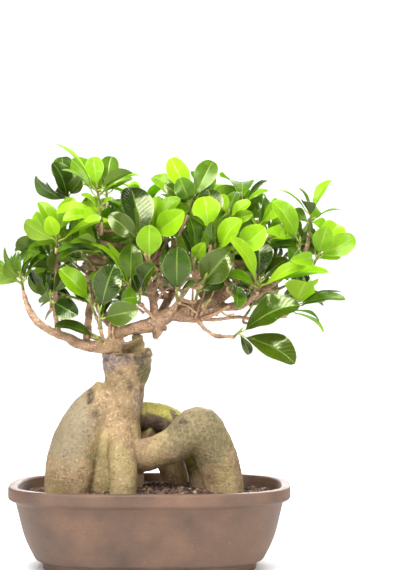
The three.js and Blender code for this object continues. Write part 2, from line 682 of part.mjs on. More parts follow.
// Tries a leaf's possible places in turn and keeps the first that is allowed and touches nothing.
function placeLeaf(tries, shoot, placed, wood, isAllowed = () => true) {
  for (const { root, tip, face, width = 1 } of tries) {
    const leaf = leafFrame(root, tip, face, width);
    const samples = leafSamples(leaf);
    if (isAllowed(samples) && isClear(samples, shoot, placed, wood)) {
      placed.push({ shoot, leaf, samples, reach: reachOf(samples) });
      return;
    }
  }
}

// A leaf that shows at the front keeps its outline and may only move nearer or farther.
function frontLeafTries(shoot, index) {
  const [x, y, z, face, width] = shoot.tips[index];
  const share = mix(0.35, 1, (index + 0.5) / shoot.tips.length);
  const root = shoot.from.clone().lerp(shoot.to, share);
  return DEPTH_SHIFTS.map((shift) => ({
    root,
    tip: new THREE.Vector3(x, y + shift, z),
    face: vector(face),
    width,
  }));
}

// Other leaves wind up their shoot, wide and long below, upright and short above.
function woundLeafTries(shoot, index, count, random) {
  const share = mix(0.3, 1, (index + 0.5) / count);
  const root = shoot.from.clone().lerp(shoot.to, share);
  const axis = shoot.to.clone().sub(shoot.from).normalize();
  const first = new THREE.Vector3(axis.z, 0, -axis.x).normalize();
  const second = axis.clone().cross(first);
  const spin = index * GOLDEN_ANGLE + 6 * random();
  const spread = mix(...LEAF_SPREADS, share) + 0.3 * (random() - 0.5);
  const jitter = mix(1 - LEAF_LENGTH_SPREAD, 1 + LEAF_LENGTH_SPREAD, random());
  const length = mix(...LEAF_LENGTHS, share) * jitter;
  return LEAF_TURNS.map((turn, attempt) => {
    const heading = axis.clone().multiplyScalar(Math.cos(spread))
      .addScaledVector(first, Math.sin(spread) * Math.cos(spin + turn))
      .addScaledVector(second, Math.sin(spread) * Math.sin(spin + turn));
    const reach = attempt < FULL_LENGTH_TRIES ? length : SHORTENED * length;
    const tip = root.clone().addScaledVector(heading, reach);
    const face = new THREE.Vector3(root.x - DOME_CENTRE[0], root.y - DOME_CENTRE[1], 0)
      .multiplyScalar(OUTWARD_FACE / DOME_RADII[1]).add(new THREE.Vector3(0, 0, UPWARD_FACE));
    return { root, tip, face };
  });
}

// Where a sampled place shows in the view from the front, at the trunk's scale.
function fromFront({ point }) {
  const [x, , z] = VIEW_MIDDLE;
  const scale = VIEW_DISTANCE / (VIEW_DISTANCE + point.y);
  return { x: x + (point.x - x) * scale, z: z + (point.z - z) * scale, depth: point.y };
}

// The other leaves keep out of the open windows and hide no leaf that is set by eye.
function staysBehind(samples, front) {
  const places = samples.map(fromFront);
  const isOpen = places.some((place) => OPEN_WINDOWS.some(([left, bottom, right, top]) =>
    place.x > left && place.x < right && place.z > bottom && place.z < top));
  const hides = (place) => front.some((other) => place.depth < other.depth
    && Math.abs(place.x - other.x) < CLEAR_OF_FRONT && Math.abs(place.z - other.z) < CLEAR_OF_FRONT);
  return !isOpen && !places.some(hides);
}

function layOutLeaves(shoots, wood, random) {
  const placed = [];
  for (const shoot of shoots) {
    shoot.tips.forEach((tip, index) => placeLeaf(frontLeafTries(shoot, index), shoot, placed, wood));
  }
  const front = placed.flatMap(({ samples }) => samples.map(fromFront));
  for (const shoot of shoots) {
    for (let index = 0; index < shoot.extra; index += 1) {
      const tries = woundLeafTries(shoot, index, shoot.extra, random);
      placeLeaf(tries, shoot, placed, wood, (samples) => staysBehind(samples, front));
    }
  }
  return placed;
}

// One leaf as a solid. Each ring is left edge, keel, right edge and top of the rib,
// and both faces are split along the same diagonals, so that they never cross.
function leafSolid(leaf, shares) {
  const rings = [[
    leaf.base.clone().addScaledVector(leaf.across, -PETIOLE_RADIUS),
    leaf.base.clone().addScaledVector(leaf.out, -PETIOLE_RADIUS),
    leaf.base.clone().addScaledVector(leaf.across, PETIOLE_RADIUS),
    leaf.base.clone().addScaledVector(leaf.out, PETIOLE_RADIUS),
  ]];
  for (const share of shares) {
    const rib = bladePoint(leaf, share, 0);
    rings.push([
      bladePoint(leaf, share, -1),
      rib.clone().addScaledVector(leaf.out, -RIB_BELOW),
      bladePoint(leaf, share, 1),
      rib.clone().addScaledVector(leaf.out, RIB_ABOVE),
    ]);
  }
  const faces = [];
  for (let low = 0; low < 4 * (rings.length - 1); low += 4) {
    const high = low + 4;
    faces.push(low, low + 1, high + 1, low, high + 1, high);
    faces.push(low + 1, low + 2, high + 2, low + 1, high + 2, high + 1);
    faces.push(low + 3, high + 2, low + 2, low + 3, high + 3, high + 2);
    faces.push(low, high + 3, low + 3, low, high, high + 3);
  }
  const last = 4 * (rings.length - 1);
  const tip = last + 4;
  const root = tip + 1;
  for (let i = 0; i < 4; i += 1) {
    const next = (i + 1) % 4;
    faces.push(last + i, last + next, tip, next, i, root);
  }
  const points = [...rings.flat(), bladePoint(leaf, 1, 0), leaf.root];
  return toSolid(makeGeometry(points.flatMap((point) => [point.x, point.y, point.z]), faces));
}

function addMesh(group, name, solid, material) {
  const mesh = new THREE.Mesh(toGeometry(solid), material);
  mesh.name = name;
  group.add(mesh);
}

// Places close together along the wood, each with its radius and the shoot that it belongs to.
function woodPlaces(runs) {
  return runs.flatMap(({ run, shoot }) => {
    const places = [];
    for (let i = 0; i + 1 < run.length; i += 1) {
      const span = run[i].point.distanceTo(run[i + 1].point);
      const steps = Math.max(1, Math.ceil(span / WOOD_STEP));
      for (let step = 0; step < steps; step += 1) {
        const share = step / steps;
        places.push({
          point: run[i].point.clone().lerp(run[i + 1].point, share),
          radius: mix(run[i].radius, run[i + 1].radius, share),
          shoot,
        });
      }
    }
    return places;
  });
}

// Adds the tree to the group and returns the holes that its roots need in the soil.
function buildTree(group) {
  const random = makeRandom(SEED);
  const rootRuns = Object.values(ROOTS).map(toRun);
  const branchRuns = Object.values(BRANCHES).map(toRun);
  const branchPlaces = woodPlaces(branchRuns.map((run) => ({ run })));
  const shoots = layOutShoots(branchPlaces, random);
  const twigRuns = shoots.map((shoot) => twigRun(shoot, branchPlaces, random));

  const wood = woodPlaces([
    ...rootRuns.map((run) => ({ run })),
    ...branchRuns.map((run) => ({ run })),
    ...twigRuns.map((run, i) => ({ run, shoot: shoots[i] })),
    ...shoots.map((shoot) => ({ run: shootRun(shoot), shoot })),
  ]);
  const placed = layOutLeaves(shoots, wood, random);

  const roots = rootRuns.map((run, i) => rootSolid(run, i, 0));
  const branches = branchRuns.map((run) =>
    limbSolid(run, run[0].radius > THICK_BRANCH ? THICK_BRANCH_SIDES : BRANCH_SIDES));
  const twigs = twigRuns.map((run) => limbSolid(run, TWIG_SIDES));
  addMesh(group, 'trunk_and_branches', joinSolids([...roots, ...branches, ...twigs]), BARK);

  shoots.forEach((shoot) => {
    const stem = limbSolid(shootRun(shoot), TWIG_SIDES);
    const leaves = placed.filter((item) => item.shoot === shoot).map(({ leaf }) =>
      leafSolid(leaf, leaf.blade > LONG_BLADE ? LONG_BLADE_RINGS : SHORT_BLADE_RINGS));
    const green = OLD_GREEN.clone().lerp(YOUNG_GREEN, shoot.youth);
    const material = new THREE.MeshStandardMaterial({ color: green, roughness: 0.35, metalness: 0 });
    addMesh(group, `leaves_${shoot.name}`, joinSolids([stem, ...leaves]), material);
  });
  return rootRuns.map((run, i) => rootSolid(run, i, SEAT_GAP));
}

const bonsai = new THREE.Group();
const rootHoles = buildTree(bonsai);
addMesh(bonsai, 'soil', makeSoil(rootHoles), EARTH);
addMesh(bonsai, 'pot', makePot(), CLAY);

export default bonsai;
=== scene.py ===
import math
from dataclasses import dataclass

import bpy
import numpy as np
from mathutils import Matrix, Vector, noise


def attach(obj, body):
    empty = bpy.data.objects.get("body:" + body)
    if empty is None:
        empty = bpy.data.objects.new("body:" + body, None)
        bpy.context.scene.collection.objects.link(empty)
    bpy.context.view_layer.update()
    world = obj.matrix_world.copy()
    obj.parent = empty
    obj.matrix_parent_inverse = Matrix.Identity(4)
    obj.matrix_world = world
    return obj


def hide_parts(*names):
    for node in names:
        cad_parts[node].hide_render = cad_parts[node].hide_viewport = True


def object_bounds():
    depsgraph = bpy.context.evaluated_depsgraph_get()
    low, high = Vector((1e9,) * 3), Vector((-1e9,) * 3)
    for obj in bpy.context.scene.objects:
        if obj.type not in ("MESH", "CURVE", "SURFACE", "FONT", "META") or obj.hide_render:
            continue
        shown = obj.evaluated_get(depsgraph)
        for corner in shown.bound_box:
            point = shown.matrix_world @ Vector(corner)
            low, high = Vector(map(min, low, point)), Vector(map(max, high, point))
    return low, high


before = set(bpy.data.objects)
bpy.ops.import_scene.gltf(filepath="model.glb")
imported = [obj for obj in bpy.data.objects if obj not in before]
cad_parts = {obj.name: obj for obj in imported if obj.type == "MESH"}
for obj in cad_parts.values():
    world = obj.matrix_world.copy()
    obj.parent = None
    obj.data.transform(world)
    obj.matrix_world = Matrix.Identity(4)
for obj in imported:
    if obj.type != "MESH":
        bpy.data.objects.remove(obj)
cad_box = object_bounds()

# Lengths are in millimetres up to the moment when a mesh is made.
MM = 0.001

# The camera stands level, straight in front, and sees the tree at this scale.
CAMERA_TARGET = (50, 0, 280)
CAMERA_DISTANCE = 1700
VIEW_HEIGHT = 570
SENSOR = 36
SIGHT_IN_METRES = 20

# The rule that places shoots and leaves. It is the one that the solids follow, so that every
# fine leaf lies where its solid does.
SEAT_GAP = 0.35
WOOD_STEP = 3
TWIG_START_SHARE = 0.8
TWIG_START_RADIUS = 1.8
TWIG_START_PER_SPAN = 0.012
TWIG_BEND_SHARE = 0.4
TWIG_SWAY = 0.08
TWIG_NECK = 2
TWIG_DROP_WEIGHT = 1.5
COARSE_TWIG_STEPS = 2
SHOOT_RADIUS = 1.5
SHOOT_TAPER = 0.35
SHOOT_LENGTHS = (13, 18)
SHOOT_UPTURN = 0.7
SHOOT_ROOM = 11
SHOOT_TURN_JITTER = 0.4
DOME_CENTRE = np.array((24.0, 20.0, 298.0))
DOME_RADII = np.array((152.0, 86.0, 84.0))
MIDDLE_YOUTH = 0.35
YOUTH_WITH_HEIGHT = 0.5
YOUTH_SPREAD = 0.4
SEED = 2580

HAND_ROOTS_FROM = 0.35
WOUND_ROOTS_FROM = 0.3
LEAF_WIDTH_SHARE = 0.5
PETIOLE_SHARE = 0.15
LEAF_ARCH_SHARE = 0.09
LEAF_FOLD = math.radians(17)
OUTLINE_SKEW = 1.2
OUTLINE_BLUNTNESS = 0.75
GOLDEN_ANGLE = math.pi * (3 - math.sqrt(5))
LEAF_LENGTHS = (47, 31)
LEAF_LENGTH_SPREAD = 0.12
LEAF_SPREADS = (1.35, 0.5)
LEAF_SPREAD_JITTER = 0.3
LEAF_SPIN_JITTER = 6
LEAF_TURNS = (0, 0.45, -0.45, 0.9, -0.9, 1.5, -1.5, 2.2, -2.2, 3)
FULL_LENGTH_TRIES = 5
SHORTENED = 0.8
DEPTH_SHIFTS = (0, -6, 6, -12, 12, -18, 18, -24, 24, -30, 30)
OUTWARD_FACE = 0.9
UPWARD_FACE = 0.6
WOOD_CLEARANCE = 2.4
CROWDED_SHARE = 0.35
SAMPLE_SHARES = (0.15, 0.3, 0.45, 0.6, 0.75, 0.9)
SAMPLE_SIDES = (-1, -0.5, 0, 0.5, 1)
MIDDLE_SAMPLE = 17

FRONT = (0, -1, 0.15)
FRONT_UP = (0, -1, 0.9)
FRONT_LEFT = (-0.8, -1, 0.2)
FRONT_RIGHT = (0.8, -1, 0.2)
NEARLY_UP = (0, -0.6, 1)
UP = (0, -0.3, 1)
UP_LEFT = (-0.8, -0.2, 0.8)
UP_RIGHT = (0.8, -0.2, 0.8)
RIGHT = (1, -0.25, 0.3)
UP_FRONT = (0, -0.8, 1)
GLOSSY = (0.3, -1, 0.55)
BACK_UP = (-0.2, 0.5, 0.8)

# Each root or branch is a list of places along its middle: x, y, z and its radius there.
# The first root is the trunk itself.
ROOTS = {
    "trunk": [
        (-23, 0, 212, 25.2), (-24, 0, 199, 24.3), (-25, 0, 186, 21), (-26, 0, 174, 20.5),
        (-30, 0, 160, 22), (-36, 2, 142, 26), (-38, 2, 115, 31), (-38, 2, 85, 33), (-38, 2, 56, 30),
    ],
    "left": [
        (-42, -3, 173, 14), (-52, -5, 160, 20), (-62, -8, 142, 25),
        (-72, -10, 118, 27), (-78, -12, 90, 27), (-80, -12, 58, 23),
    ],
    "mossy": [
        (-25, 14, 150, 12), (0, 24, 146, 14.5), (20, 24, 140, 14.5),
        (40, 20, 122, 16), (54, 12, 100, 18), (58, 6, 60, 16),
    ],
    "knee": [
        (-26, -10, 108, 17), (0, -18, 113, 16), (24, -20, 122, 17),
        (47, -18, 137, 23), (56, -16, 129, 22),
        (65, -14, 112, 21), (72, -12, 92, 20), (76, -10, 58, 18),
    ],
    "back": [(-35, 22, 150, 15), (-45, 42, 125, 17), (-50, 54, 95, 18), (-52, 58, 58, 16)],
    "back_right": [(-10, 20, 132, 13), (12, 42, 110, 14), (24, 52, 85, 14), (28, 55, 58, 12)],
    "front": [(-30, -14, 135, 12), (-27, -34, 112, 14), (-25, -42, 88, 14), (-25, -45, 58, 12)],
}

BRANCHES = {
    "scion_left": [
        (-26.5, -6, 217, 7.8), (-38, -6, 219, 7.6), (-52, -8, 218.5, 6.2), (-68, -10, 221, 5.2),
        (-82, -12, 228, 4.4), (-95, -14, 233, 4), (-108, -14, 241, 3.6), (-119, -11, 253, 3),
        (-125, -8, 269, 2.4),
    ],
    "lip": [(-12, 0, 204, 10), (-4.5, -2, 211, 6.5), (-2, -3, 218, 2.2)],
    "nub": [(-42, -3, 184, 7), (-48, -4, 183.5, 3.5), (-53.5, -4, 182.5, 1)],
    "scion_right": [(-14, 2, 207, 9), (-18, 1, 222, 8), (-26, 0, 227, 6)],
    "main": [
        (-38, 0, 220, 7), (-28, 0, 228, 7.2), (-15, 0, 235.5, 7.2), (-2, -1, 239, 7.5),
        (8, -2, 244, 8), (20, -1, 251, 7), (35, 0, 256, 7.2), (50, 2, 259, 6.2), (62, 6, 262, 5.2),
        (76, 12, 270, 4.4), (86, 18, 282, 4), (91, 24, 297, 3.4), (96, 28, 313, 2.6),
    ],
    "upright": [
        (5, 0, 247, 5.2), (3.5, 0, 260, 4.2), (2, 0, 271, 3.8), (-1, 2, 285, 2.6), (-4, 6, 302, 2),
    ],
    "upright_fork": [(2, 0, 271, 3), (8, -2, 283, 2.2), (12, -6, 296, 1.8)],
    "knob": [(7, -3, 247, 6.5), (8, -5, 237, 6), (5, -5, 226, 2.6)],
    "knob_stub": [(10, -6, 238, 3.4), (17, -7, 236, 2.6)],
    "crossing": [(-9, -9, 261, 1.6), (1, -9.5, 250, 1.8), (10, -7, 239, 2)],
    "diagonal": [
        (16, -7, 244, 2.6), (22, -9, 255, 2.4), (30, -12, 266, 2.3),
        (38, -14, 277, 2.1), (46, -17, 290, 1.8),
    ],
    "under": [
        (20, -3, 249, 4), (36, -4, 246, 3.3), (48, -4, 247.5, 3), (65, -4, 245.5, 2.2),
        (90, -2, 248, 1.9), (112, 4, 243, 1.7), (135, 7, 249, 1.5),
    ],
    "middle": [
        (44, -3, 251, 3.2), (62, -4, 253, 2.7), (75, -5, 256.5, 2.4), (90, -8, 257, 2.2),
        (100, -11, 265, 2), (106, -13, 273, 1.8),
    ],
    "drooping": [
        (46, -4, 247, 2.6), (53, -7, 238, 2), (58, -9, 234, 1.9),
        (67, -12, 229.5, 1.9), (83, -15, 229, 1.7),
    ],
    "right": [
        (56, 4, 260, 3.6), (80, 10, 259, 3.2), (105, 9, 268, 2.9), (128, 6, 284, 2.6),
        (148, 4, 299, 2.4), (156, 2, 315, 2.2), (159, 0, 332, 1.8),
    ],
    "back_middle": [(8, 3, 245, 5), (16, 34, 262, 4.2), (30, 66, 284, 3.4), (44, 92, 304, 2.4)],
    "back_left": [(-30, 4, 228, 5), (-48, 32, 250, 4.2), (-66, 62, 276, 3.4), (-84, 86, 300, 2.4)],
    "back_right": [(50, 6, 260, 4.6), (78, 38, 276, 3.8), (104, 66, 292, 3), (126, 88, 306, 2.2)],
    "left_upright": [
        (-64, -8, 221, 4), (-62, 8, 245, 3.8), (-60, 12, 275, 3.4),
        (-61, 12, 310, 2.8), (-56, 10, 338, 2),
    ],
    "left_edge": [(-90, -13, 231, 3), (-94, -8, 254, 2.7), (-93, -6, 290, 2.4), (-90, -8, 320, 1.8)],
    "left_second": [(-46, -2, 224, 3), (-62, 0, 231, 2.6), (-78, 4, 239, 2.4), (-92, 6, 251, 2)],
    "left_twig": [(-46, -8, 220, 2), (-47, -13, 228, 1.9), (-50, -19, 240, 1.7), (-53, -23, 249, 1.5)],
    "aerial": [
        (-46, -8, 221, 1.8), (-42, -11, 226, 1.5), (-33, -12, 224, 1.6), (-23, -12, 222, 1.6),
        (-7, -7, 228, 1.6),
    ],
}

# Shoots listed one by one: their two ends, how young their leaves are from 0 to 1, how many more leaves
# wind up them, and for each listed leaf its tip, the way its upper face looks, how young it is
# and its width beside the usual one.
HAND_SHOOTS = {
    "crown_left": ((-49, -24, 359), (-51, -30, 375), 0.6, 1, [
        (-83, -44, 394, UP_RIGHT, 0.55, 0.5), (-32, -40, 379, UP_LEFT, 0.55, 0.7),
        (-17, -22, 387, FRONT_UP, 0.4, 0.9), (-90, -40, 419, UP_RIGHT, 0.85, 0.45),
        (-16, -44, 391, BACK_UP, 0.3, 0.85), (-55, -22, 407, FRONT, 0.6, 1.15),
    ]),
    "crown_left_back": ((-44, 20, 364), (-45, 20, 381), 0.45, 1, [
        (-13, 5, 392, UP, 0.75, 0.8), (-78, 2, 406, FRONT, 0.45, 1.1), (-40, 28, 411, FRONT, 0.3, 1.3),
    ]),
    "left_back": ((-80, 4, 356), (-82, 2, 370), 0.15, 1, [
        (-96, -10, 401, FRONT_RIGHT, 0.1, 1.1), (-90, 24, 411, FRONT, 0.2, 1),
        (-66, -16, 388, FRONT, 0.05, 1),
    ]),
    "left_arch": ((-46, -40, 342), (-48, -46, 356), 0.7, 1, [
        (-81, -68, 344, FRONT_UP, 0.7, 0.8), (-60, -76, 341, FRONT, 0.8, 1),
        (-90, -46, 352, UP_FRONT, 0.8, 0.9), (-64, -58, 368, UP_FRONT, 0.6, 0.9),
        (-34, -58, 364, FRONT_UP, 0.6, 0.8),
    ]),
    "left_lime": ((-91, -28, 317), (-90, -32, 330), 0.7, 1, [
        (-39, -50, 345, UP_FRONT, 0.85, 0.5), (-97, -50, 347, FRONT, 1, 1.1),
        (-108, -30, 362, FRONT_RIGHT, 0.55, 1), (-74, -40, 366, FRONT, 0.6, 0.9),
    ]),
    "gloss": ((-4, -40, 312), (-7, -46, 324), 0.05, 1, [
        (-18, -16, 378, GLOSSY, 0.02, 1.05), (-38, -50, 349, FRONT, 0.05, 1),
        (-26, -24, 356, FRONT, 0.05, 1),
    ]),
    "pale_back": ((1, -46, 295), (1, -52, 307), 0.4, 2, [(1, -60, 338, FRONT, 0.55, 1.45)]),
    "lime_pair": ((6, -10, 322), (0, -16, 334), 0.6, 2, [
        (34, -46, 351, FRONT, 0.72, 1.05), (31, -30, 365, FRONT_UP, 0.5, 0.95),
    ]),
    "crown_middle": ((38, -8, 350), (43, -12, 366), 0.55, 1, [
        (2, 4, 389, FRONT_UP, 0.55, 0.9), (15, -16, 380, FRONT, 0.15, 0.9),
        (30, -38, 386, FRONT, 0.32, 1.5), (18, 22, 394, UP, 0.4, 0.5), (63, 6, 405, FRONT, 0.3, 0.95),
        (21, -4, 407, FRONT, 0.78, 0.95),
    ]),
    "centre_round": ((60, -30, 320), (59, -36, 332), 0.6, 1, [
        (78, -40, 350, UP_LEFT, 0.4, 0.7), (42, -52, 346, UP_FRONT, 0.05, 0.8),
        (58, 2, 376, UP_FRONT, 0.05, 1.1), (53, -8, 367, FRONT, 0.72, 1.6),
    ]),
    "twig_end": ((46, -20, 296), (45, -26, 307), 0.5, 1, [
        (13, -34, 336, UP_RIGHT, 0.45, 0.5), (54, -54, 320, FRONT, 0.75, 0.9),
        (33, -32, 333, UP_FRONT, 0.15, 1), (40, -36, 346, FRONT_RIGHT, 0.25, 0.9),
    ]),
    "hanging": ((29, -22, 264), (27, -30, 272), 0.2, 1, [
        (14, -18, 316, FRONT_LEFT, 0.02, 0.6), (28, -42, 317, FRONT, 0.16, 1.25),
    ]),
    "dark_pair": ((46, -18, 266), (49, -29, 279), 0.1, 1, [
        (73, -16, 286, FRONT, 0.02, 1), (78, -46, 313, FRONT, 0.08, 1.2),
    ]),
    "lime_middle": ((66, -40, 304), (65, -48, 317), 0.7, 2, [
        (90, -60, 343, FRONT_UP, 0.72, 1.2), (62, -60, 341, FRONT_LEFT, 0.25, 0.9),
    ]),
    "lime_right": ((82, -38, 303), (84, -44, 317), 0.7, 2, [
        (113, -54, 336, FRONT, 0.7, 1.3), (80, -76, 325, FRONT_UP, 0.8, 0.7),
    ]),
    "lime_behind": ((78, -10, 338), (78, -14, 351), 0.6, 1, [
        (102, -30, 350, FRONT, 0.5, 0.9), (100, -20, 363, FRONT_UP, 0.7, 1.1),
        (69, -2, 371, FRONT, 0.7, 1), (87, 8, 374, UP, 0.3, 0.8),
    ]),
    "crown_right": ((94, 6, 354), (92, 4, 368), 0.5, 1, [
        (118, -8, 374, UP_FRONT, 0.55, 0.7), (125, 40, 388, UP, 0.05, 0.4), (92, 48, 390, FRONT, 0.3, 1),
        (71, 54, 392, FRONT_RIGHT, 1, 0.8),
    ]),
    "right_fold": ((110, -14, 327), (108, -18, 340), 0.5, 2, [
        (132, -44, 327, FRONT_UP, 0.75, 0.9), (127, -10, 366, FRONT_RIGHT, 0.75, 1),
    ]),
    "right_green": ((148, -26, 310), (148, -34, 323), 0.2, 2, [
        (138, -56, 303, FRONT, 0.25, 1.1), (122, -50, 362, FRONT_RIGHT, 0.55, 1),
    ]),
    "right_shoot": ((159, 0, 333), (161, -4, 353), 0.6, 1, [
        (143, 16, 355, FRONT, 0.3, 1), (177, 20, 340, FRONT, 0.85, 1), (190, -14, 355, UP, 0.5, 0.45),
        (152, -34, 363, UP_FRONT, 0.02, 0.9), (129, -6, 376, UP_RIGHT, 0.85, 0.4),
        (182, 10, 386, FRONT_LEFT, 0.7, 0.65),
    ]),
    "right_edge": ((163, -10, 301), (168, -14, 310), 0.5, 1, [
        (139, -74, 304, FRONT_RIGHT, 0.75, 0.45), (204, -8, 328, FRONT, 0.55, 1.1),
        (175, -26, 338, FRONT, 0.5, 1.3), (190, 26, 343, FRONT, 1, 1),
    ]),
    "right_lime": ((107, -26, 274), (109, -32, 283), 0.5, 0, [
        (158, -34, 301, FRONT_UP, 0.95, 0.6), (79, -56, 325, FRONT_RIGHT, 0.85, 0.5),
        (178, -14, 293, UP_FRONT, 0.75, 0.5), (108, -12, 326, UP_FRONT, 0.02, 1.2),
        (138, -18, 306, UP_FRONT, 0.05, 0.9),
    ]),
    "right_tip": ((137, 8, 250), (147, 6, 262), 0.7, 1, [
        (174, -6, 234, UP_RIGHT, 0.75, 0.8), (170, 8, 245, RIGHT, 0.6, 0.8),
        (195, -6, 266, UP_FRONT, 0.3, 0.6), (194, 20, 273, UP, 0.2, 0.4),
        (156, -32, 285, BACK_UP, 0.95, 1.8),
    ]),
    "big_pair": ((84, -15, 229), (89, -18, 234), 0.1, 1, [
        (146, -38, 262, FRONT_UP, 0.14, 1.05), (143, -36, 203, FRONT_UP, 0.05, 1),
        (100, -4, 210, FRONT, 0.02, 0.7),
    ]),
    "left_low": ((-53, -23, 250), (-58, -27, 264), 0.3, 2, [
        (-72, -4, 281, FRONT, 0.25, 0.9), (-87, -40, 296, FRONT_UP, 0.55, 1.1),
    ]),
    "left_dark": ((-47, -30, 237), (-49, -37, 256), 0.1, 2, [
        (-11, -54, 256, FRONT, 0.1, 1.2), (-33, -46, 300, FRONT, 0.06, 1.2),
    ]),
    "stub_leaves": ((-10, -13, 262), (-9, -19, 273), 0.15, 1, [
        (-27, -32, 266, FRONT, 0.4, 1.8), (5, -30, 299, FRONT_LEFT, 0.04, 1.05),
    ]),
    "long_lime": ((-17, -16, 270), (-19, -22, 281), 0.35, 1, [
        (-42, -14, 322, UP, 0.9, 0.4), (-55, -44, 322, UP_RIGHT, 0.8, 0.5),
        (-17, -26, 321, FRONT, 0.28, 1.2),
    ]),
    "low_dark": ((-46, -14, 223), (-51, -18, 228), 0.05, 0, [(-93, -26, 241, NEARLY_UP, 0.02, 0.9)]),
    "far_left": ((-126, -8, 275), (-128, -10, 290), 0.5, 7, []),
    "edge_dark": ((-98, -12, 258), (-98, -16, 270), 0.1, 2, [
        (-70, -32, 251, FRONT, 0.08, 1.3), (-78, -16, 303, FRONT_RIGHT, 0.1, 1),
    ]),
    "back_low_left": ((-18, 38, 256), (-20, 48, 267), 0.2, 4, []),
    "back_low_right": ((52, 64, 250), (56, 75, 262), 0.15, 5, []),
    "back_low_far": ((98, 46, 250), (106, 54, 262), 0.25, 4, []),
    "within_middle": ((8, 30, 284), (4, 34, 299), 0.25, 4, []),
    "within_right": ((58, 46, 296), (62, 52, 310), 0.3, 4, []),
}


@dataclass(eq=False)
class Dome:
    """How shoots are spread over the crown's dome, and how far apart their leaves stay."""

    count: int
    lowest: float
    depths: tuple
    spacing: float
    leaves: int


@dataclass(eq=False)
class Shoot:
    """A soft end of a twig, with the leaves that are listed for it and a number of others."""

    name: str
    start: np.ndarray
    end: np.ndarray
    youth: float
    tips: list
    extra: int


@dataclass(eq=False)
class Leaf:
    """A leaf's root on its shoot, where its blade begins, its own directions and its size."""

    shoot: Shoot
    root: np.ndarray
    base: np.ndarray
    along: np.ndarray
    out: np.ndarray
    across: np.ndarray
    blade: float
    half_width: float
    youth: float = None


CROWN_DOME = Dome(count=44, lowest=-0.42, depths=(0.8, 1), spacing=34, leaves=8)
INNER_DOME = Dome(count=150, lowest=-0.5, depths=(0.3, 0.88), spacing=16, leaves=7)

# Clear space around a leaf: to leaves of other shoots and to those of its own.
SOLID_CLEARANCES = (4.6, 2.4)
FILL_CLEARANCES = (2.6, 1.6)


STREAM_FACTOR = 48271
STREAM_LENGTH = 2147483647


class Stream:
    """A repeatable stream of numbers from 0 to 1."""

    def __init__(self, seed):
        self.state = seed

    def __call__(self):
        self.state = self.state * STREAM_FACTOR % STREAM_LENGTH
        return self.state / STREAM_LENGTH


def unit(vector):
    return vector / np.linalg.norm(vector)


def mix(low, high, share):
    return (1 - share) * low + share * high


def smooth_step(low, high, value):
    share = np.clip((value - low) / (high - low), 0, 1)
    return share * share * (3 - 2 * share)


def closer(points, others, limits):
    """Which of some points are closer to which of some others than a limit."""
    squares = 0
    for axis in range(3):
        gap = points[:, None, axis] - others[None, :, axis]
        squares = squares + gap * gap
    return squares < limits * limits


def hand_shoots():
    return [Shoot(name, np.array(start, float), np.array(end, float), youth, leaves, extra)
            for name, (start, end, youth, extra, leaves) in HAND_SHOOTS.items()]


def add_dome_shoots(shoots, branches, draw, dome, name):
    """Adds shoots spread evenly over a dome, where no other shoot or branch is near."""
    for i in range(dome.count):
        rise = mix(1, dome.lowest, (i + 0.5) / dome.count)
        level = math.sqrt(1 - rise * rise)
        angle = i * GOLDEN_ANGLE + SHOOT_TURN_JITTER * draw()
        reach = mix(*dome.depths, draw())
        outward = np.array((level * math.cos(angle), level * math.sin(angle), rise))
        end = DOME_CENTRE + DOME_RADII * outward * reach
        heading = unit(outward + (0, 0, SHOOT_UPTURN))
        start = end - heading * mix(*SHOOT_LENGTHS, draw())
        youth = MIDDLE_YOUTH + YOUTH_WITH_HEIGHT * rise + YOUTH_SPREAD * (draw() - 0.5)
        spaced = all(np.linalg.norm(other.end - end) > dome.spacing for other in shoots)
        to_wood = np.linalg.norm(branches[:, :3] - mix(start, end, 0.5), axis=1)
        if spaced and (to_wood > branches[:, 3] + SHOOT_ROOM).all():
            youth = min(1, max(0, youth))
            shoots.append(Shoot(f"{name}_{i}", start, end, youth, [], dome.leaves))


def wood_places(runs, owners):
    """Rows of x, y, z, radius and owner, close together along each run."""
    rows = []
    for run, owner in zip(runs, owners):
        for here, there in zip(run[:-1], run[1:]):
            steps = max(1, math.ceil(np.linalg.norm(there[:3] - here[:3]) / WOOD_STEP))
            rows += [[*mix(here, there, step / steps), owner] for step in range(steps)]
    return np.array(rows)


class Twig:
    """The wood that carries a shoot. It leaves the nearest branch that is not far above it."""

    def __init__(self, shoot, branches, draw):
        above = np.maximum(0, branches[:, 2] - shoot.start[2])
        away = np.linalg.norm(branches[:, :3] - shoot.start, axis=1)
        place = branches[np.argmin(away + TWIG_DROP_WEIGHT * above)]
        heading = unit(shoot.end - shoot.start)
        self.start = place[:3]
        self.end = shoot.start - heading * SEAT_GAP
        span = np.linalg.norm(self.end - self.start)
        self.bend = self.end - heading * TWIG_BEND_SHARE * span
        self.bend[0] += TWIG_SWAY * span * (draw() - 0.5)
        self.bend[1] += TWIG_SWAY * span * (draw() - 0.5)
        self.neck = self.end - heading * TWIG_NECK
        widest = TWIG_START_RADIUS + TWIG_START_PER_SPAN * span
        self.radius = min(TWIG_START_SHARE * place[3], widest)

    def run(self, steps):
        """Rows of x, y, z and radius along the twig."""
        rows = []
        for share in np.linspace(0, 1, steps + 1):
            rest = 1 - share
            point = rest * rest * self.start + 2 * rest * share * self.bend
            point = point + share * share * self.neck
            rows.append([*point, mix(self.radius, SHOOT_RADIUS, share)])
        rows.append([*self.end, SHOOT_RADIUS])
        return np.array(rows)


def shoot_run(shoot):
    return np.array([
        [*shoot.start, SHOOT_RADIUS],
        [*shoot.end, SHOOT_RADIUS * (1 - SHOOT_TAPER)],
    ])


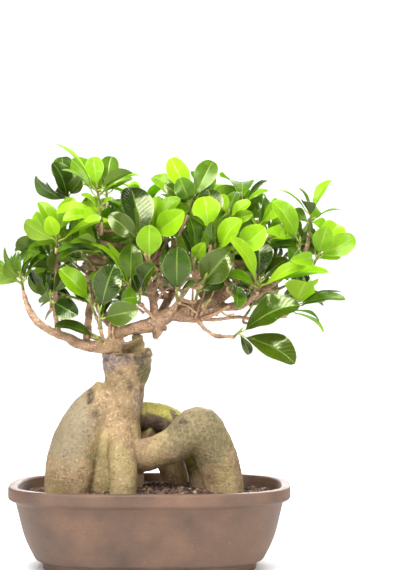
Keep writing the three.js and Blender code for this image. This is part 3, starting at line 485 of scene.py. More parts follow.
def make_leaf(shoot, root, tip, face, width):
    length = np.linalg.norm(tip - root)
    along = (tip - root) / length
    out = unit(face - along * np.dot(face, along))
    across = np.cross(out, along)
    base = root + along * PETIOLE_SHARE * length
    blade = length * (1 - PETIOLE_SHARE)
    return Leaf(shoot, root, base, along, out, across, blade, 0.5 * LEAF_WIDTH_SHARE * length * width)


def outline(share):
    """How wide a blade is at a share of its length."""
    wave = np.sin(np.pi * np.asarray(share, float) ** OUTLINE_SKEW)
    return np.maximum(0, wave) ** OUTLINE_BLUNTNESS


def blade_points(leaf, share, side):
    reach = leaf.half_width * outline(share)
    rise = 4 * LEAF_ARCH_SHARE * leaf.blade * share * (1 - share)
    return (leaf.base + np.outer(leaf.blade * share, leaf.along)
            + np.outer(side * reach * math.cos(LEAF_FOLD), leaf.across)
            + np.outer(rise + np.abs(side) * reach * math.sin(LEAF_FOLD), leaf.out))


SAMPLES = np.array([(share, side) for share in SAMPLE_SHARES for side in SAMPLE_SIDES] + [(1, 0)], float)
CROWDED = np.append(SAMPLES[:, 0] < CROWDED_SHARE, True)


def reach_of(samples):
    """How far a leaf's sampled points lie from the one at its middle."""
    return np.linalg.norm(samples - samples[MIDDLE_SAMPLE], axis=1).max()


class Crown:
    """All leaves placed so far, with the places over them that are kept apart."""

    def __init__(self):
        self.leaves = []
        self.samples = np.zeros((0, len(CROWDED), 3))
        self.reaches = np.zeros(0)
        self.owners = np.zeros(0, int)

    def is_clear(self, samples, owner, wood, clearances):
        middle = samples[MIDDLE_SAMPLE]
        reach = reach_of(samples)
        places = wood[closer(middle[None], wood, wood[:, 3] + WOOD_CLEARANCE + reach)[0]]
        touching = closer(samples, places, places[:, 3] + WOOD_CLEARANCE)
        own = places[:, 4] == owner
        if touching[:, ~own].any() or touching[~CROWDED][:, own].any():
            return False
        limits = self.reaches + reach + clearances[0]
        near = closer(middle[None], self.samples[:, MIDDLE_SAMPLE], limits)[0]
        own = self.owners == owner
        if closer(samples, self.samples[near & ~own].reshape(-1, 3), clearances[0]).any():
            return False
        siblings = self.samples[near & own][:, ~CROWDED].reshape(-1, 3)
        return not closer(samples[~CROWDED], siblings, clearances[1]).any()

    def place(self, tries, shoot, owner, wood, clearances, allowed=None, youth=None, width=1):
        """Tries a leaf's possible places in turn and keeps the first that touches nothing."""
        for root, tip, face in tries:
            leaf = make_leaf(shoot, root, tip, face, width)
            samples = np.vstack([blade_points(leaf, SAMPLES[:, 0], SAMPLES[:, 1]), leaf.base])
            seen_well = allowed is None or allowed(samples)
            if seen_well and self.is_clear(samples, owner, wood, clearances):
                leaf.youth = youth
                self.leaves.append(leaf)
                self.samples = np.concatenate([self.samples, samples[None]])
                self.reaches = np.append(self.reaches, reach_of(samples))
                self.owners = np.append(self.owners, owner)
                return


def front_leaf_tries(shoot, index):
    """A listed leaf keeps its outline and may only move nearer or farther."""
    x, y, z, face, *_ = shoot.tips[index]
    root = mix(shoot.start, shoot.end, mix(HAND_ROOTS_FROM, 1, (index + 0.5) / len(shoot.tips)))
    return [(root, np.array((x, y + shift, z), float), np.array(face, float)) for shift in DEPTH_SHIFTS]


def wound_leaf_tries(shoot, index, count, draw):
    """Other leaves wind up their shoot, wide and long below, upright and short above."""
    share = mix(WOUND_ROOTS_FROM, 1, (index + 0.5) / count)
    root = mix(shoot.start, shoot.end, share)
    axis = unit(shoot.end - shoot.start)
    first = unit(np.array((axis[2], 0, -axis[0])))
    second = np.cross(axis, first)
    spin = index * GOLDEN_ANGLE + LEAF_SPIN_JITTER * draw()
    spread = mix(*LEAF_SPREADS, share) + LEAF_SPREAD_JITTER * (draw() - 0.5)
    jitter = mix(1 - LEAF_LENGTH_SPREAD, 1 + LEAF_LENGTH_SPREAD, draw())
    length = mix(*LEAF_LENGTHS, share) * jitter
    face = (root - DOME_CENTRE) * (1, 1, 0) * OUTWARD_FACE / DOME_RADII[1] + (0, 0, UPWARD_FACE)
    tries = []
    for attempt, turn in enumerate(LEAF_TURNS):
        around = first * math.cos(spin + turn) + second * math.sin(spin + turn)
        heading = axis * math.cos(spread) + around * math.sin(spread)
        reach = length if attempt < FULL_LENGTH_TRIES else SHORTENED * length
        tries.append((root, root + heading * reach, face))
    return tries


# The rest of the crown, which the solids leave out: more leaves on each shoot and shoots within.
MORE_LEAVES = 6
INNER_PIECES = 4
MOSSY_ROOT = list(ROOTS).index("mossy")
# Places where the front view shows bare wood or daylight: left, bottom, right and top.
OPEN_WINDOWS = (
    (-100, 205, -45, 238), (-45, 205, -5, 250), (-5, 205, 30, 272), (30, 205, 84, 264),
    (84, 190, 210, 258), (-26, 384, 2, 430), (66, 388, 108, 430), (108, 374, 142, 430),
)
FILL_SEED = 77
CLEAR_OF_FRONT = 4


def from_camera(points):
    """Where points show in the level front view, in millimetres at the trunk, and their depth."""
    scale = CAMERA_DISTANCE / (CAMERA_DISTANCE + points[..., 1])
    across = CAMERA_TARGET[0] + (points[..., 0] - CAMERA_TARGET[0]) * scale
    upward = CAMERA_TARGET[2] + (points[..., 2] - CAMERA_TARGET[2]) * scale
    return np.stack([across, upward], axis=-1), points[..., 1]


class FrontView:
    """Keeps what the photograph shows free of the leaves that are added."""

    def __init__(self, samples):
        self.places, self.depths = from_camera(samples.reshape(-1, 3))

    def allows(self, samples):
        places, depths = from_camera(samples)
        for left, bottom, right, top in OPEN_WINDOWS:
            inside = (places > (left, bottom)) & (places < (right, top))
            if inside.all(axis=1).any():
                return False
        low, high = places.min(axis=0) - CLEAR_OF_FRONT, places.max(axis=0) + CLEAR_OF_FRONT
        near = ((self.places > low) & (self.places < high)).all(axis=1) & (self.depths > depths.min())
        beside, level = (np.abs(places[:, None, axis] - self.places[None, near, axis]) < CLEAR_OF_FRONT
                         for axis in range(2))
        return not (beside & level & (depths[:, None] < self.depths[None, near])).any()


def in_box(samples):
    """Whether points lie inside the solids' own box."""
    low, high = np.array(cad_box) / MM
    return (samples > low).all() and (samples < high).all()


def wind_leaves(crown, shoots, counts, draw, wood, clearances, allowed):
    """Adds leaves up each shoot, a number of them given for each."""
    for owner, (shoot, count) in enumerate(zip(shoots, counts)):
        for index in range(count):
            tries = wound_leaf_tries(shoot, index, count, draw)
            crown.place(tries, shoot, owner, wood, clearances, allowed)


@dataclass(eq=False)
class Tree:
    """The whole tree as runs of wood, shoots with their twigs, and leaves."""

    roots: list
    branches: list
    shoots: list
    twigs: list
    crown: Crown


def grow_tree():
    draw = Stream(SEED)
    roots = [np.array(places, float) for places in ROOTS.values()]
    branches = [np.array(places, float) for places in BRANCHES.values()]
    no_owner = [-1] * (len(roots) + len(branches))
    branch_places = wood_places(branches, no_owner)
    shoots = hand_shoots()
    add_dome_shoots(shoots, branch_places, draw, CROWN_DOME, "dome")
    twigs = [Twig(shoot, branch_places, draw) for shoot in shoots]

    def all_wood():
        runs = roots + branches + [twig.run(COARSE_TWIG_STEPS) for twig in twigs]
        runs += [shoot_run(shoot) for shoot in shoots]
        return wood_places(runs, no_owner + 2 * list(range(len(shoots))))

    wood = all_wood()
    crown = Crown()
    for owner, shoot in enumerate(shoots):
        for index, (*_, youth, width) in enumerate(shoot.tips):
            tries = front_leaf_tries(shoot, index)
            crown.place(tries, shoot, owner, wood, SOLID_CLEARANCES, youth=youth, width=width)
    front = FrontView(crown.samples)
    counts = [shoot.extra for shoot in shoots]
    wind_leaves(crown, shoots, counts, draw, wood, SOLID_CLEARANCES, front.allows)

    draw = Stream(FILL_SEED)
    add_dome_shoots(shoots, branch_places, draw, INNER_DOME, "inner")
    twigs += [Twig(shoot, branch_places, draw) for shoot in shoots[len(twigs):]]
    counts = [shoot.extra if shoot.name.startswith("inner") else MORE_LEAVES for shoot in shoots]
    wind_leaves(crown, shoots, counts, draw, all_wood(), FILL_CLEARANCES,
                lambda samples: in_box(samples) and front.allows(samples))
    return Tree(roots, branches, shoots, twigs, crown)


def new_mesh(name, points, faces):
    mesh = bpy.data.meshes.new(name)
    mesh.from_pydata(np.asarray(points) * MM, [], faces)
    return mesh


def new_object(name, data):
    made = bpy.data.objects.new(name, data)
    bpy.context.scene.collection.objects.link(made)
    return made


class Skin:
    """Gathers the points, faces and point values of one piece."""

    def __init__(self):
        self.points = []
        self.faces = []
        self.place = []
        self.tone = []
        self.rims = []
        self.count = 0

    def add(self, points, faces, place=(0, 0, 0), tone=(0, 0, 0), rim=None):
        self.faces += [[corner + self.count for corner in face] for face in faces]
        self.count += len(points)
        self.points.append(points)
        self.place.append(np.broadcast_to(place, (len(points), 3)))
        self.tone.append(np.broadcast_to(tone, (len(points), 3)))
        self.rims.append(np.zeros(len(points), bool) if rim is None else rim)

    def make(self, name, material, slot, smooth=True):
        points = np.concatenate(self.points)
        piece = make_piece(name, points, self.faces, material, smooth)
        set_values(piece, "place", np.concatenate(self.place))
        set_values(piece, "tone", np.concatenate(self.tone))
        rim = np.concatenate(self.rims)
        if rim.any():
            edges = np.zeros(2 * len(piece.data.edges), int)
            piece.data.edges.foreach_get("vertices", edges)
            sharp = rim[edges.reshape(-1, 2)].all(axis=1)
            mark = piece.data.attributes.new("sharp_edge", "BOOLEAN", "EDGE")
            mark.data.foreach_set("value", sharp)
        return piece


def make_piece(name, points, faces, material, smooth=True):
    mesh = new_mesh(name, points, faces)
    mesh.polygons.foreach_set("use_smooth", [smooth] * len(mesh.polygons))
    mesh.materials.append(material)
    piece = new_object(name, mesh)
    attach(piece, "root")
    return piece


def read_values(items, name):
    """The three numbers that each item has under a name, in rows."""
    values = np.zeros(3 * len(items))
    items.foreach_get(name, values)
    return values.reshape(-1, 3)


def set_values(piece, name, values):
    layer = piece.data.attributes.new(name, "FLOAT_VECTOR", "POINT")
    layer.data.foreach_set("vector", np.asarray(values, np.float32).ravel())


# The fine blade's grid: rows of points from its base, each from edge to edge.
BLADE_ROWS = np.array([0, 0.04, 0.1, 0.18, 0.27, 0.37, 0.47, 0.57, 0.67, 0.76, 0.84, 0.91, 0.965])
BLADE_SIDES = np.array([-1, -0.84, -0.56, -0.28, -0.08, 0, 0.08, 0.28, 0.56, 0.84, 1])
BLADE_HALF_THICKNESS = 0.17
BLADE_BASE_HALF_WIDTH = 0.75
RIB_HALF_WIDTH = 0.07
RIB_DEPTH = 0.6
GROOVE_DEPTH = 0.22
FOLD_ROUNDING = 0.2
TIP_ROUNDING = 0.36
TIP_FROM = 0.5
PETIOLE_PROFILE = ((0, 1.05), (0.35, 0.8), (0.75, 0.7), (1, 0.72))
PETIOLE_ENTRY = 0.05
PETIOLE_DEPTH = 0.2
# What varies from blade to blade: the waves at its edges, which are shifted at one of them, the curl
# of its end and its sway.
WAVES = (1.2, 2.2)
WAVE_HEIGHTS = (0.02, 0.09)
WAVE_SHIFT = 2
CURLS = (0, 0.55)
CURL_START = 0.62
TIP_CURL = 1.25
SWAYS = (-0.12, 0.12)


def blade_faces():
    """Faces of the upper skin, the lower skin, the tip and the closed base of a blade."""
    rows, columns = len(BLADE_ROWS), len(BLADE_SIDES)
    inner = columns - 2
    upper = np.arange(rows * columns).reshape(rows, columns)
    lower = upper.copy()
    lower[:, 1:-1] = rows * columns + np.arange(rows * inner).reshape(rows, inner)
    tip = rows * columns + rows * inner
    faces = []
    for grid, turned in ((upper, False), (lower, True)):
        for row in range(rows):
            for column in range(columns - 1):
                here, beside = grid[row, column], grid[row, column + 1]
                if row + 1 < rows:
                    face = [here, beside, grid[row + 1, column + 1], grid[row + 1, column]]
                else:
                    face = [here, beside, tip]
                faces.append(face[::-1] if turned else face)
    faces.append([*upper[0, ::-1], *lower[0, 1:-1]])
    rim = np.zeros(tip + 1, bool)
    rim[upper[:, [0, -1]]] = True
    rim[tip] = True
    return faces, rim


BLADE_FACES, BLADE_RIM = blade_faces()


def add_blade(skin, leaf, tone, draw):
    """One fine leaf blade. It keeps its solid's outline, fold and arch, and adds waves and a curl."""
    share, side = np.meshgrid(BLADE_ROWS, BLADE_SIDES, indexing="ij")
    share, side = share.ravel(), side.ravel()
    round_end = outline(share) ** -(TIP_ROUNDING * smooth_step(TIP_FROM, 1, share))
    reach = np.maximum(leaf.half_width * outline(share) * round_end,
                       BLADE_BASE_HALF_WIDTH * (share < 0.02))
    full_fold = math.hypot(1, FOLD_ROUNDING) - FOLD_ROUNDING
    rounded = (np.hypot(side, FOLD_ROUNDING) - FOLD_ROUNDING) / full_fold
    phase = 2 * math.pi * draw()
    turn = 2 * np.pi * mix(*WAVES, draw()) * share + phase + (side > 0) * WAVE_SHIFT
    wave = mix(*WAVE_HEIGHTS, draw()) * side**2 * np.sin(turn)
    curl = mix(*CURLS, draw()) * leaf.blade * np.maximum(0, share - CURL_START) ** 2
    sway = mix(*SWAYS, draw()) * leaf.blade * share * share * (1 - share) * 2
    rise = 4 * LEAF_ARCH_SHARE * leaf.blade * share * (1 - share)
    height = rise - curl + reach * (rounded * math.sin(LEAF_FOLD) + wave)
    middle = (leaf.base + np.outer(leaf.blade * share, leaf.along)
              + np.outer(side * reach * math.cos(LEAF_FOLD) + sway, leaf.across)
              + np.outer(height, leaf.out))
    thickness = BLADE_HALF_THICKNESS * (1 - side**4)
    middle_line = np.exp(-((side / RIB_HALF_WIDTH) ** 2))
    groove = GROOVE_DEPTH * middle_line
    rib = RIB_DEPTH * (1 - share) ** 0.6 * middle_line
    inner = np.abs(side) < 1
    upper = middle + np.outer(thickness - groove, leaf.out)
    lower = (middle - np.outer(thickness + rib, leaf.out))[inner]
    tip = leaf.base + leaf.along * leaf.blade - leaf.out * curl.max() * TIP_CURL
    place = np.zeros((len(share), 3))
    place[:, 0], place[:, 1] = share, side
    below = place[inner] + (0, 0, 1)
    points = np.vstack([upper, lower, tip])
    skin.add(points, BLADE_FACES, np.vstack([place, below, (1, 0, 0)]), tone, BLADE_RIM)


def add_limb(skin, run, sides, place, tone):
    points, faces = loft(run, sides)
    skin.add(points, faces, place, tone)


# An uneven section has two kinds of swellings: how many are around it, and how they twist.
SWELLINGS = ((3, 0.9), (2, -1.7))
SWELLING_TURN = 6


def square_reach(angles, squareness):
    """How far a section reaches at some angles: it is round at a squareness of 2, and square far above."""
    across, upward = np.abs(np.cos(angles)), np.abs(np.sin(angles))
    return (across**squareness + upward**squareness) ** (-1 / squareness)


def ring_faces(levels, sides):
    """The faces of a closed skin over rings of points: its two ends and what lies between them."""
    corners = np.arange(levels * sides).reshape(levels, sides)
    faces = [list(corners[0, ::-1]), list(corners[-1])]
    for low, high in zip(corners[:-1], corners[1:]):
        faces += [[low[i - 1], low[i], high[i], high[i - 1]] for i in range(sides)]
    return faces


def loft(run, sides, unevenness=0, squareness=2):
    """A closed skin with round sections across a run, turned the way that the solids' are."""
    first = unit(run[1, :3] - run[0, :3])
    across = np.array((0.0, 1, 0) if abs(first[0]) > 0.9 else (1.0, 0, 0))
    angles = 2 * np.pi * np.arange(sides) / sides
    corner = square_reach(angles, squareness)
    rings = []
    for level, row in enumerate(run):
        before = run[max(level - 1, 0), :3]
        after = run[min(level + 1, len(run) - 1), :3]
        along = unit(after - before)
        across = unit(across - along * np.dot(across, along))
        other = np.cross(along, across)
        travelled = level / len(run) * SWELLING_TURN
        wave = sum(np.sin(count * angles + twist * travelled) for count, twist in SWELLINGS)
        reach = row[3] * corner * (1 + unevenness * wave)
        rings.append(row[:3] + np.outer(reach * np.cos(angles), across)
                     + np.outer(reach * np.sin(angles), other))
    return np.concatenate(rings), ring_faces(len(run), sides)


def smooth_run(places, step):
    """A smooth curve through rows of numbers, as rows about a step apart."""
    places = np.asarray(places, float)
    padded = np.vstack([2 * places[0] - places[1], places, 2 * places[-1] - places[-2]])
    rows = []
    for p0, p1, p2, p3 in zip(padded, padded[1:], padded[2:], padded[3:]):
        count = max(1, round(np.linalg.norm(p2[:3] - p1[:3]) / step))
        for t in np.arange(count) / count:
            rows.append(0.5 * (2 * p1 + (p2 - p0) * t + (2 * p0 - 5 * p1 + 4 * p2 - p3) * t**2
                               + (3 * p1 - p0 - 3 * p2 + p3) * t**3))
    rows.append(places[-1])
    return np.array(rows)


STEM_PLACE = (-1, 0, 0)
BUD_PLACE = (-0.6, 0, 0)
PETIOLE_PLACE = (-0.2, 0, 0)
BUD_LENGTH = 6.5
BUD_PROFILE = ((-0.1, 0.95), (0.12, 1.25), (0.35, 1.2), (0.65, 0.75), (1, 0.12))
STEM_SIDES = 8
PETIOLE_SIDES = 6
FOLIAGE_SEED = 11
YOUTH_JITTER = 0.3
YOUNG_FROM = 0.5


def add_stem(skin, shoot, tone):
    """A shoot's green stem with the pointed bud at its end."""
    add_limb(skin, smooth_run(shoot_run(shoot), 4), STEM_SIDES, STEM_PLACE, tone)
    axis = unit(shoot.end - shoot.start)
    bud = np.array([[*(shoot.end + axis * BUD_LENGTH * share), radius] for share, radius in BUD_PROFILE])
    add_limb(skin, bud, STEM_SIDES, BUD_PLACE, tone)


def add_petiole(skin, leaf, tone):
    inward = leaf.base + leaf.along * PETIOLE_ENTRY * leaf.blade - leaf.out * PETIOLE_DEPTH
    run = [[*mix(leaf.root, inward, share), radius] for share, radius in PETIOLE_PROFILE]
    add_limb(skin, np.array(run), PETIOLE_SIDES, PETIOLE_PLACE, tone)


def make_foliage(tree, material):
    """One piece for each leafy shoot of the solids, and one for each few of the shoots within."""
    draw = Stream(FOLIAGE_SEED)
    leaves_of = {id(shoot): [] for shoot in tree.shoots}
    for leaf in tree.crown.leaves:
        leaves_of[id(leaf.shoot)].append(leaf)
    inner_skins = [Skin() for _ in range(INNER_PIECES)]
    for number, shoot in enumerate(tree.shoots):
        inner = shoot.name.startswith("inner")
        skin = inner_skins[number % INNER_PIECES] if inner else Skin()
        add_stem(skin, shoot, (shoot.youth, draw(), draw()))
        for leaf in leaves_of[id(shoot)]:
            youth = min(1, max(0, shoot.youth + YOUTH_JITTER * (draw() - 0.5)))
            youth = youth if leaf.youth is None else leaf.youth
            tone = (youth, draw(), draw())
            add_petiole(skin, leaf, tone)
            add_blade(skin, leaf, tone, draw)
        if not inner:
            slot = "leaf_young" if shoot.youth >= YOUNG_FROM else "leaf_mature"
            piece = skin.make(f"foliage_{shoot.name}", material, slot)
            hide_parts(f"leaves_{shoot.name}")
    for number, skin in enumerate(inner_skins):
        skin.make(f"inner_foliage_{number}", material, "leaf_mature")


# The wood's finer form. Kinds of noise go from broad to fine, each with the size of its lumps, how far
# it is moved and how far it lifts the bark.
TRUNK_NOISE = ((26, 0, 0.9), ((9, 9, 30), 5, 0.6), (4.2, 9, 0.35), (2.3, 13, 0.2))
BRANCH_NOISE = ((8, 3, 0.5), ((9, 3.5, 3.5), 19, 0.35), (3, 8, 0.3), (1.6, 15, 0.18))
TRUNK_VOXEL = 1.5
BRANCH_VOXEL = 0.95
TRUNK_SMOOTHING = 9
BRANCH_SMOOTHING = 3
ROOT_UNEVENNESS = 0.02
BRANCH_UNEVENNESS = 0.03
BLOCK_UNEVENNESS = 0.012
ROOT_SIDES = 36
RIDGE_SIDES = 20
BRANCH_SIDES = 18
BLOCK_SIDES = 28
TWIG_SIDES = 8
ROOT_STEP = 4
RIDGE_STEP = 2
BRANCH_STEP = 3
BARE_TWIG_STEP = 2.5
# Where the branches' noise makes knots and creases, from none to full.
KNOTS = (0.26, 0.5)
CREASES = (0.1, 0)
KNOT_HEIGHT = 0.5
CREASE_DEPTH = 0.4
# How much darker creases are painted, as painted shade; knots are darkened less.
CREASE_SHADE_AND_KNOT_DARKNESS = 0.55
# How far from their middles scars and patches fade out, from none to full, and how ragged they are.
SCAR_BORDER = (1.3, 0.5)
SCAR_RAGGEDNESS = 0.35
PATCH_BORDER = (1.25, 0.75)
PATCH_RAGGEDNESS = 0.45
FACES_FRONT = (0.25, -0.3)
# The heights between which the trunk's cut top gets chipped.
CHIPPED = (203, 210)
CHIP_SIZE = (7, 7, 5)
CHIP_DEPTH = 1.8
CHIP_DARKNESS = 0.75
# How far moss reaches from the mossy root's middle, in radii, and where the painted shade on its underside
# fades out.
MOSS_REACH = (1.05, 1.4)
SHELTER_SIZE = (30, 30, 45)
UNDERSIDE_SHADE_DARKNESS = 0.92
UNDERSIDE_SHADE_SPAN = (34, 8)
# A scar is x, z, half its width, half its height, its depth and how dark it is. One that is less
# than 0 deep and dark is the pale swelling within another.
SCARS = (
    (-58.5, 170, 4, 8.5, 1.6, 1),
    (-57.5, 171, 1.2, 3, -0.5, -0.5),
    (-53, 153, 4.5, 4, 0.4, 0.45),
    (-19, 181, 4, 5, 1, 0.75),
    (-19.5, 181.5, 1.7, 2.4, -0.6, -0.4),
    (-28, 193, 3.2, 2.6, 0.4, 0.5),
    (-33, 181, 1.8, 1.6, 0.5, 0.55),
    (-42, 171, 2.4, 2, 0.5, 0.6),
    (-13, 207.5, 3, 2.6, 1.6, 1),
    (-8, 204, 4, 4, 0.7, 0.6),
    (33, 146, 7, 2.2, 1.4, 0.8),
    (27, 141, 4, 1.4, 0.8, 0.5),
    (-5, 209, 2.2, 2, 0.9, 0.9),
    (-23, 209, 5, 2.6, 0.6, 0.6),
    (-43, 206, 3.4, 3, 0.5, 0.6),
    (-36, 199, 2.6, 2.2, 0.4, 0.45),
    (-8, 176, 2, 3, 0.4, 0.45),
    (-30, 160, 1.6, 2, 0.4, 0.5),
    (-24, 150, 2, 1.6, 0.3, 0.45),
)

# The graft's cut blocks are square, and the branch over them leaves a lens of daylight. A finer run
# stands for a number of a branch's first rows.
GRAFT_BLOCKS = (
    [(-26.3, -6, 219.2, 7.7), (-38, -6, 219.4, 7.7), (-51, -7, 219.2, 6.8)],
    [(-28, 0.5, 217, 5.6), (-5.5, 0.5, 217.8, 5.2)],
)
BLOCK_SQUARENESS = 7
TRUNK_PARTS = ("nub", "lip")
FINER_RUNS = {
    "main": (4, [
        (-40, 0, 222, 6), (-32, 0, 231, 6.4), (-22, 0, 235.4, 5.6), (-12, 0, 237.6, 6.8),
        (-2, -1, 239.5, 7.5),
    ]),
    "scion_right": (3, [(-14, 2, 207, 9), (-12.5, 1, 219, 6.4), (-12, 0, 229, 5.6)]),
}

# Patches on the branches: x, z, half their width and height, and how olive, dark or pale they are.
GRAFT_PATCHES = (
    (-40, 219, 12, 7, 0.45, 0.1, 0),
    # The right scion's recessed block: its own olive, darkened further as painted shade.
    (-15, 217, 12, 6, 1, 0.35, 0),
    (-12, 224, 9, 8, 0.9, 0.2, 0),
    (-34, 233, 9, 8, 0.25, 0, 0.6),
    (20, 243, 16, 5, 0, 0.35, 0),
    (4, 230, 4, 4, 0, 0.5, 0),
    (14, 236, 4, 4, 0, 0.7, 0),
    (30, 262, 10, 5, 0, 0.4, 0),
)

# Every twig's foot flares, and its nodes swell.
TWIG_STEPS = 14
FOOT_FLARE = 0.5
FOOT_LENGTH = 3
NODE_SWELLING = 0.16
NODE_SPACING = 7
# Thin leafless twigs and stubs that cross in front of the branches.
BARE_TWIGS = (
    [(43, -7, 250, 1.5), (42.5, -12, 263, 1.1), (43, -15, 276, 0.9), (44, -17, 291, 0.7)],
    [(46, -8, 247, 1.4), (49, -12, 258, 1), (53, -13, 268, 0.8), (56, -14, 281, 0.6)],
    [(50, -7, 249, 1.4), (55, -11, 258, 1.1), (62, -12, 270, 0.9), (66, -11, 284, 0.7)],
    [(52, -6, 246, 1.8), (62, -9, 250, 1.6), (72, -11, 255, 1.5), (79, -12, 259.5, 1.5)],
    [(66, -8, 250, 1.2), (70, -11, 254, 0.9), (76, -11, 250, 0.8), (84, -8, 251, 0.9)],
    [(30, -8, 262, 1.1), (38, -13, 259, 1), (47, -12, 252, 1.1)],
    [(24, -8, 252, 1), (27, -12, 262, 0.8), (25, -13, 272, 0.6)],
    [(-40, -12, 226, 1.4), (-40, -17, 236, 1.1), (-38, -18, 247, 0.8)],
    [(-36, -11, 226, 1.3), (-37, -15, 233, 1.2), (-36, -16, 239, 1.1)],
    [(6, -6, 264, 1.2), (14, -9, 274, 0.9), (22, -11, 279, 0.7), (27, -12, 290, 0.6)],
    [(-6, -6, 252, 1.2), (-16, -9, 262, 0.9), (-21, -12, 275, 0.7)],
    [(84, -6, 256, 1.1), (91, -12, 263, 1), (97, -14, 273, 0.8), (101, -15, 284, 0.7)],
    [(100, 4, 268, 1), (104, -4, 262, 0.8), (113, -8, 260, 0.6)],
)

# What stands out of the trunk at its sides: the hooked nub over the left root and the cut top's lip.
TRUNK_RIDGES = (
    [(-40, -3, 171, 12), (-44, -4, 174, 8.5), (-49, -4, 178.5, 5), (-54.5, -4, 182, 2.4)],
    [(-34, -2, 196, 14), (-30, 0, 206, 16)],
    [(-18, 0, 196, 13), (-9, -1, 204, 11.5), (-3.5, -2, 210, 7.6), (-0.5, -3, 217, 3.4)],
    [(-11, 0, 184, 8), (-8.5, -1, 196, 9.5), (-7, -1, 205, 9)],
)

# Broad stains on the bark: x, z, half their width and height, and how grey, olive or pale they are.
STAINS = (
    (-42, 204, 11, 10, 1, 0, 0),
    (-25, 206, 9, 6, 0.85, 0, 0),
    (-10, 206, 11, 7, 0.6, 0.5, 0),
    (-5, 193, 7, 10, 0.3, 0.9, 0),
    (-78, 140, 24, 34, 0.1, 0.12, 1),
    (-12, 158, 6, 18, 0.5, 0, 0),
    (50, 130, 34, 28, 0.25, 0.6, 0.4),
    (66, 150, 12, 10, 0.5, 0.2, 0.5),
    (27, 142, 12, 16, 0.4, 0.5, 0),
)


def spot_distance(points, x, z, half_width, half_height):
    """How far points lie from a spot's middle in the front view. It is 1 at the spot's border."""
    return np.hypot((points[:, 0] - x) / half_width, (points[:, 2] - z) / half_height)


def ripples(points, size, offset=0):
    """Smooth noise from -1 to 1 over points, with lumps of about that size."""
    stretched = (points / np.asarray(size, float) + offset).tolist()
    return np.array([noise.noise(Vector(place)) for place in stretched])


def bark_noise(points, kinds):
    """The values of some kinds of noise at points, and how far they lift the bark together."""
    fields = [ripples(points, size, offset) for size, offset, _ in kinds]
    return fields, sum(lift * field for field, (*_, lift) in zip(fields, kinds))


def fuse(limbs, voxel, smoothing):
    """Joins limbs into one skin by voxels and melts their joints. Returns points, normals, faces."""
    skin = Skin()
    for points, faces in limbs:
        skin.add(points, faces)
    limbs = new_object("limbs", new_mesh("limbs", np.concatenate(skin.points), skin.faces))
    remesh = limbs.modifiers.new("Remesh", "REMESH")
    remesh.mode = "VOXEL"
    remesh.voxel_size = voxel * MM
    melt = limbs.modifiers.new("Smooth", "SMOOTH")
    melt.factor = 0.5
    melt.iterations = smoothing
    fused = bpy.data.meshes.new_from_object(limbs.evaluated_get(bpy.context.evaluated_depsgraph_get()))
    bpy.data.objects.remove(limbs)
    points = read_values(fused.vertices, "co") / MM
    normals = read_values(fused.vertex_normals, "vector")
    faces = [list(face.vertices) for face in fused.polygons]
    bpy.data.meshes.remove(fused)
    return points, normals, faces


def nearness(points, run, low, high):
    """1 where points are within low radii of a run's middle, and 0 beyond high radii."""
    nearest = np.full(len(points), 1e9)
    for row in smooth_run(run, ROOT_STEP):
        nearest = np.minimum(nearest, np.linalg.norm(points - row[:3], axis=1) / row[3])
    return smooth_step(high, low, nearest)


def make_trunk(tree, material):
    """Trunk and roots in one skin, with scars, chips at the cut top, moss on the root behind and painted
    shade under it.
    """
    limbs = [loft(smooth_run(run, ROOT_STEP), ROOT_SIDES, ROOT_UNEVENNESS) for run in tree.roots]
    limbs += [loft(smooth_run(run, RIDGE_STEP), RIDGE_SIDES, ROOT_UNEVENNESS) for run in TRUNK_RIDGES]
    points, normals, faces = fuse(limbs, TRUNK_VOXEL, TRUNK_SMOOTHING)
    (lumps, folds, pits, grain), height = bark_noise(points, TRUNK_NOISE)
    dark = np.zeros(len(points))
    front = smooth_step(*FACES_FRONT, normals[:, 1])
    for x, z, half_width, half_height, depth, darkness in SCARS:
        away = spot_distance(points, x, z, half_width, half_height)
        scar = smooth_step(*SCAR_BORDER, away + SCAR_RAGGEDNESS * pits) * front
        height -= depth * scar * (0.7 + 0.6 * pits)
        dark = np.maximum(dark, darkness * scar) if darkness > 0 else dark + darkness * scar
    chips = smooth_step(-0.1, 0.35, ripples(points, CHIP_SIZE, 21))
    chips = chips * smooth_step(*CHIPPED, points[:, 2])
    height -= CHIP_DEPTH * chips
    dark = np.maximum(dark, CHIP_DARKNESS * chips)
    mossy = nearness(points, tree.roots[MOSSY_ROOT], *MOSS_REACH)
    upward = smooth_step(-0.25, 0.5, normals[:, 2] + 0.35 * lumps)
    moss = mossy * upward * smooth_step(-0.75, -0.2, folds + 0.5 * lumps)
    height += moss * (0.5 + 0.9 * np.abs(grain) + 0.5 * np.abs(pits))
    # Painted shade on the mossy root's downward side, fading out along the root away from the trunk.
    underside_shade = mossy * smooth_step(0.6, -0.3, normals[:, 2] + 0.3 * lumps)
    underside_shade = underside_shade * smooth_step(*UNDERSIDE_SHADE_SPAN, points[:, 0])
    dark = np.maximum(dark, UNDERSIDE_SHADE_DARKNESS * underside_shade)
    sheltered = smooth_step(-0.1, 0.5, ripples(points, SHELTER_SIZE, 31))
    piece = make_piece("trunk_bark", points + normals * height[:, None], faces, material)
    set_values(piece, "paint", np.stack([moss, dark, sheltered], axis=1))
    set_values(piece, "stain", patches(STAINS, points, lumps + 0.8 * pits))
    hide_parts("trunk_and_branches")


def patches(places, points, ragged):
    """Three values for each point from a list of patches, with ragged borders between them."""
    found = np.zeros((len(points), 3))
    for x, z, half_width, half_height, *strengths in places:
        away = spot_distance(points, x, z, half_width, half_height)
        stain = smooth_step(*PATCH_BORDER, away + PATCH_RAGGEDNESS * ragged)
        found = np.maximum(found, np.outer(stain, strengths))
    return found


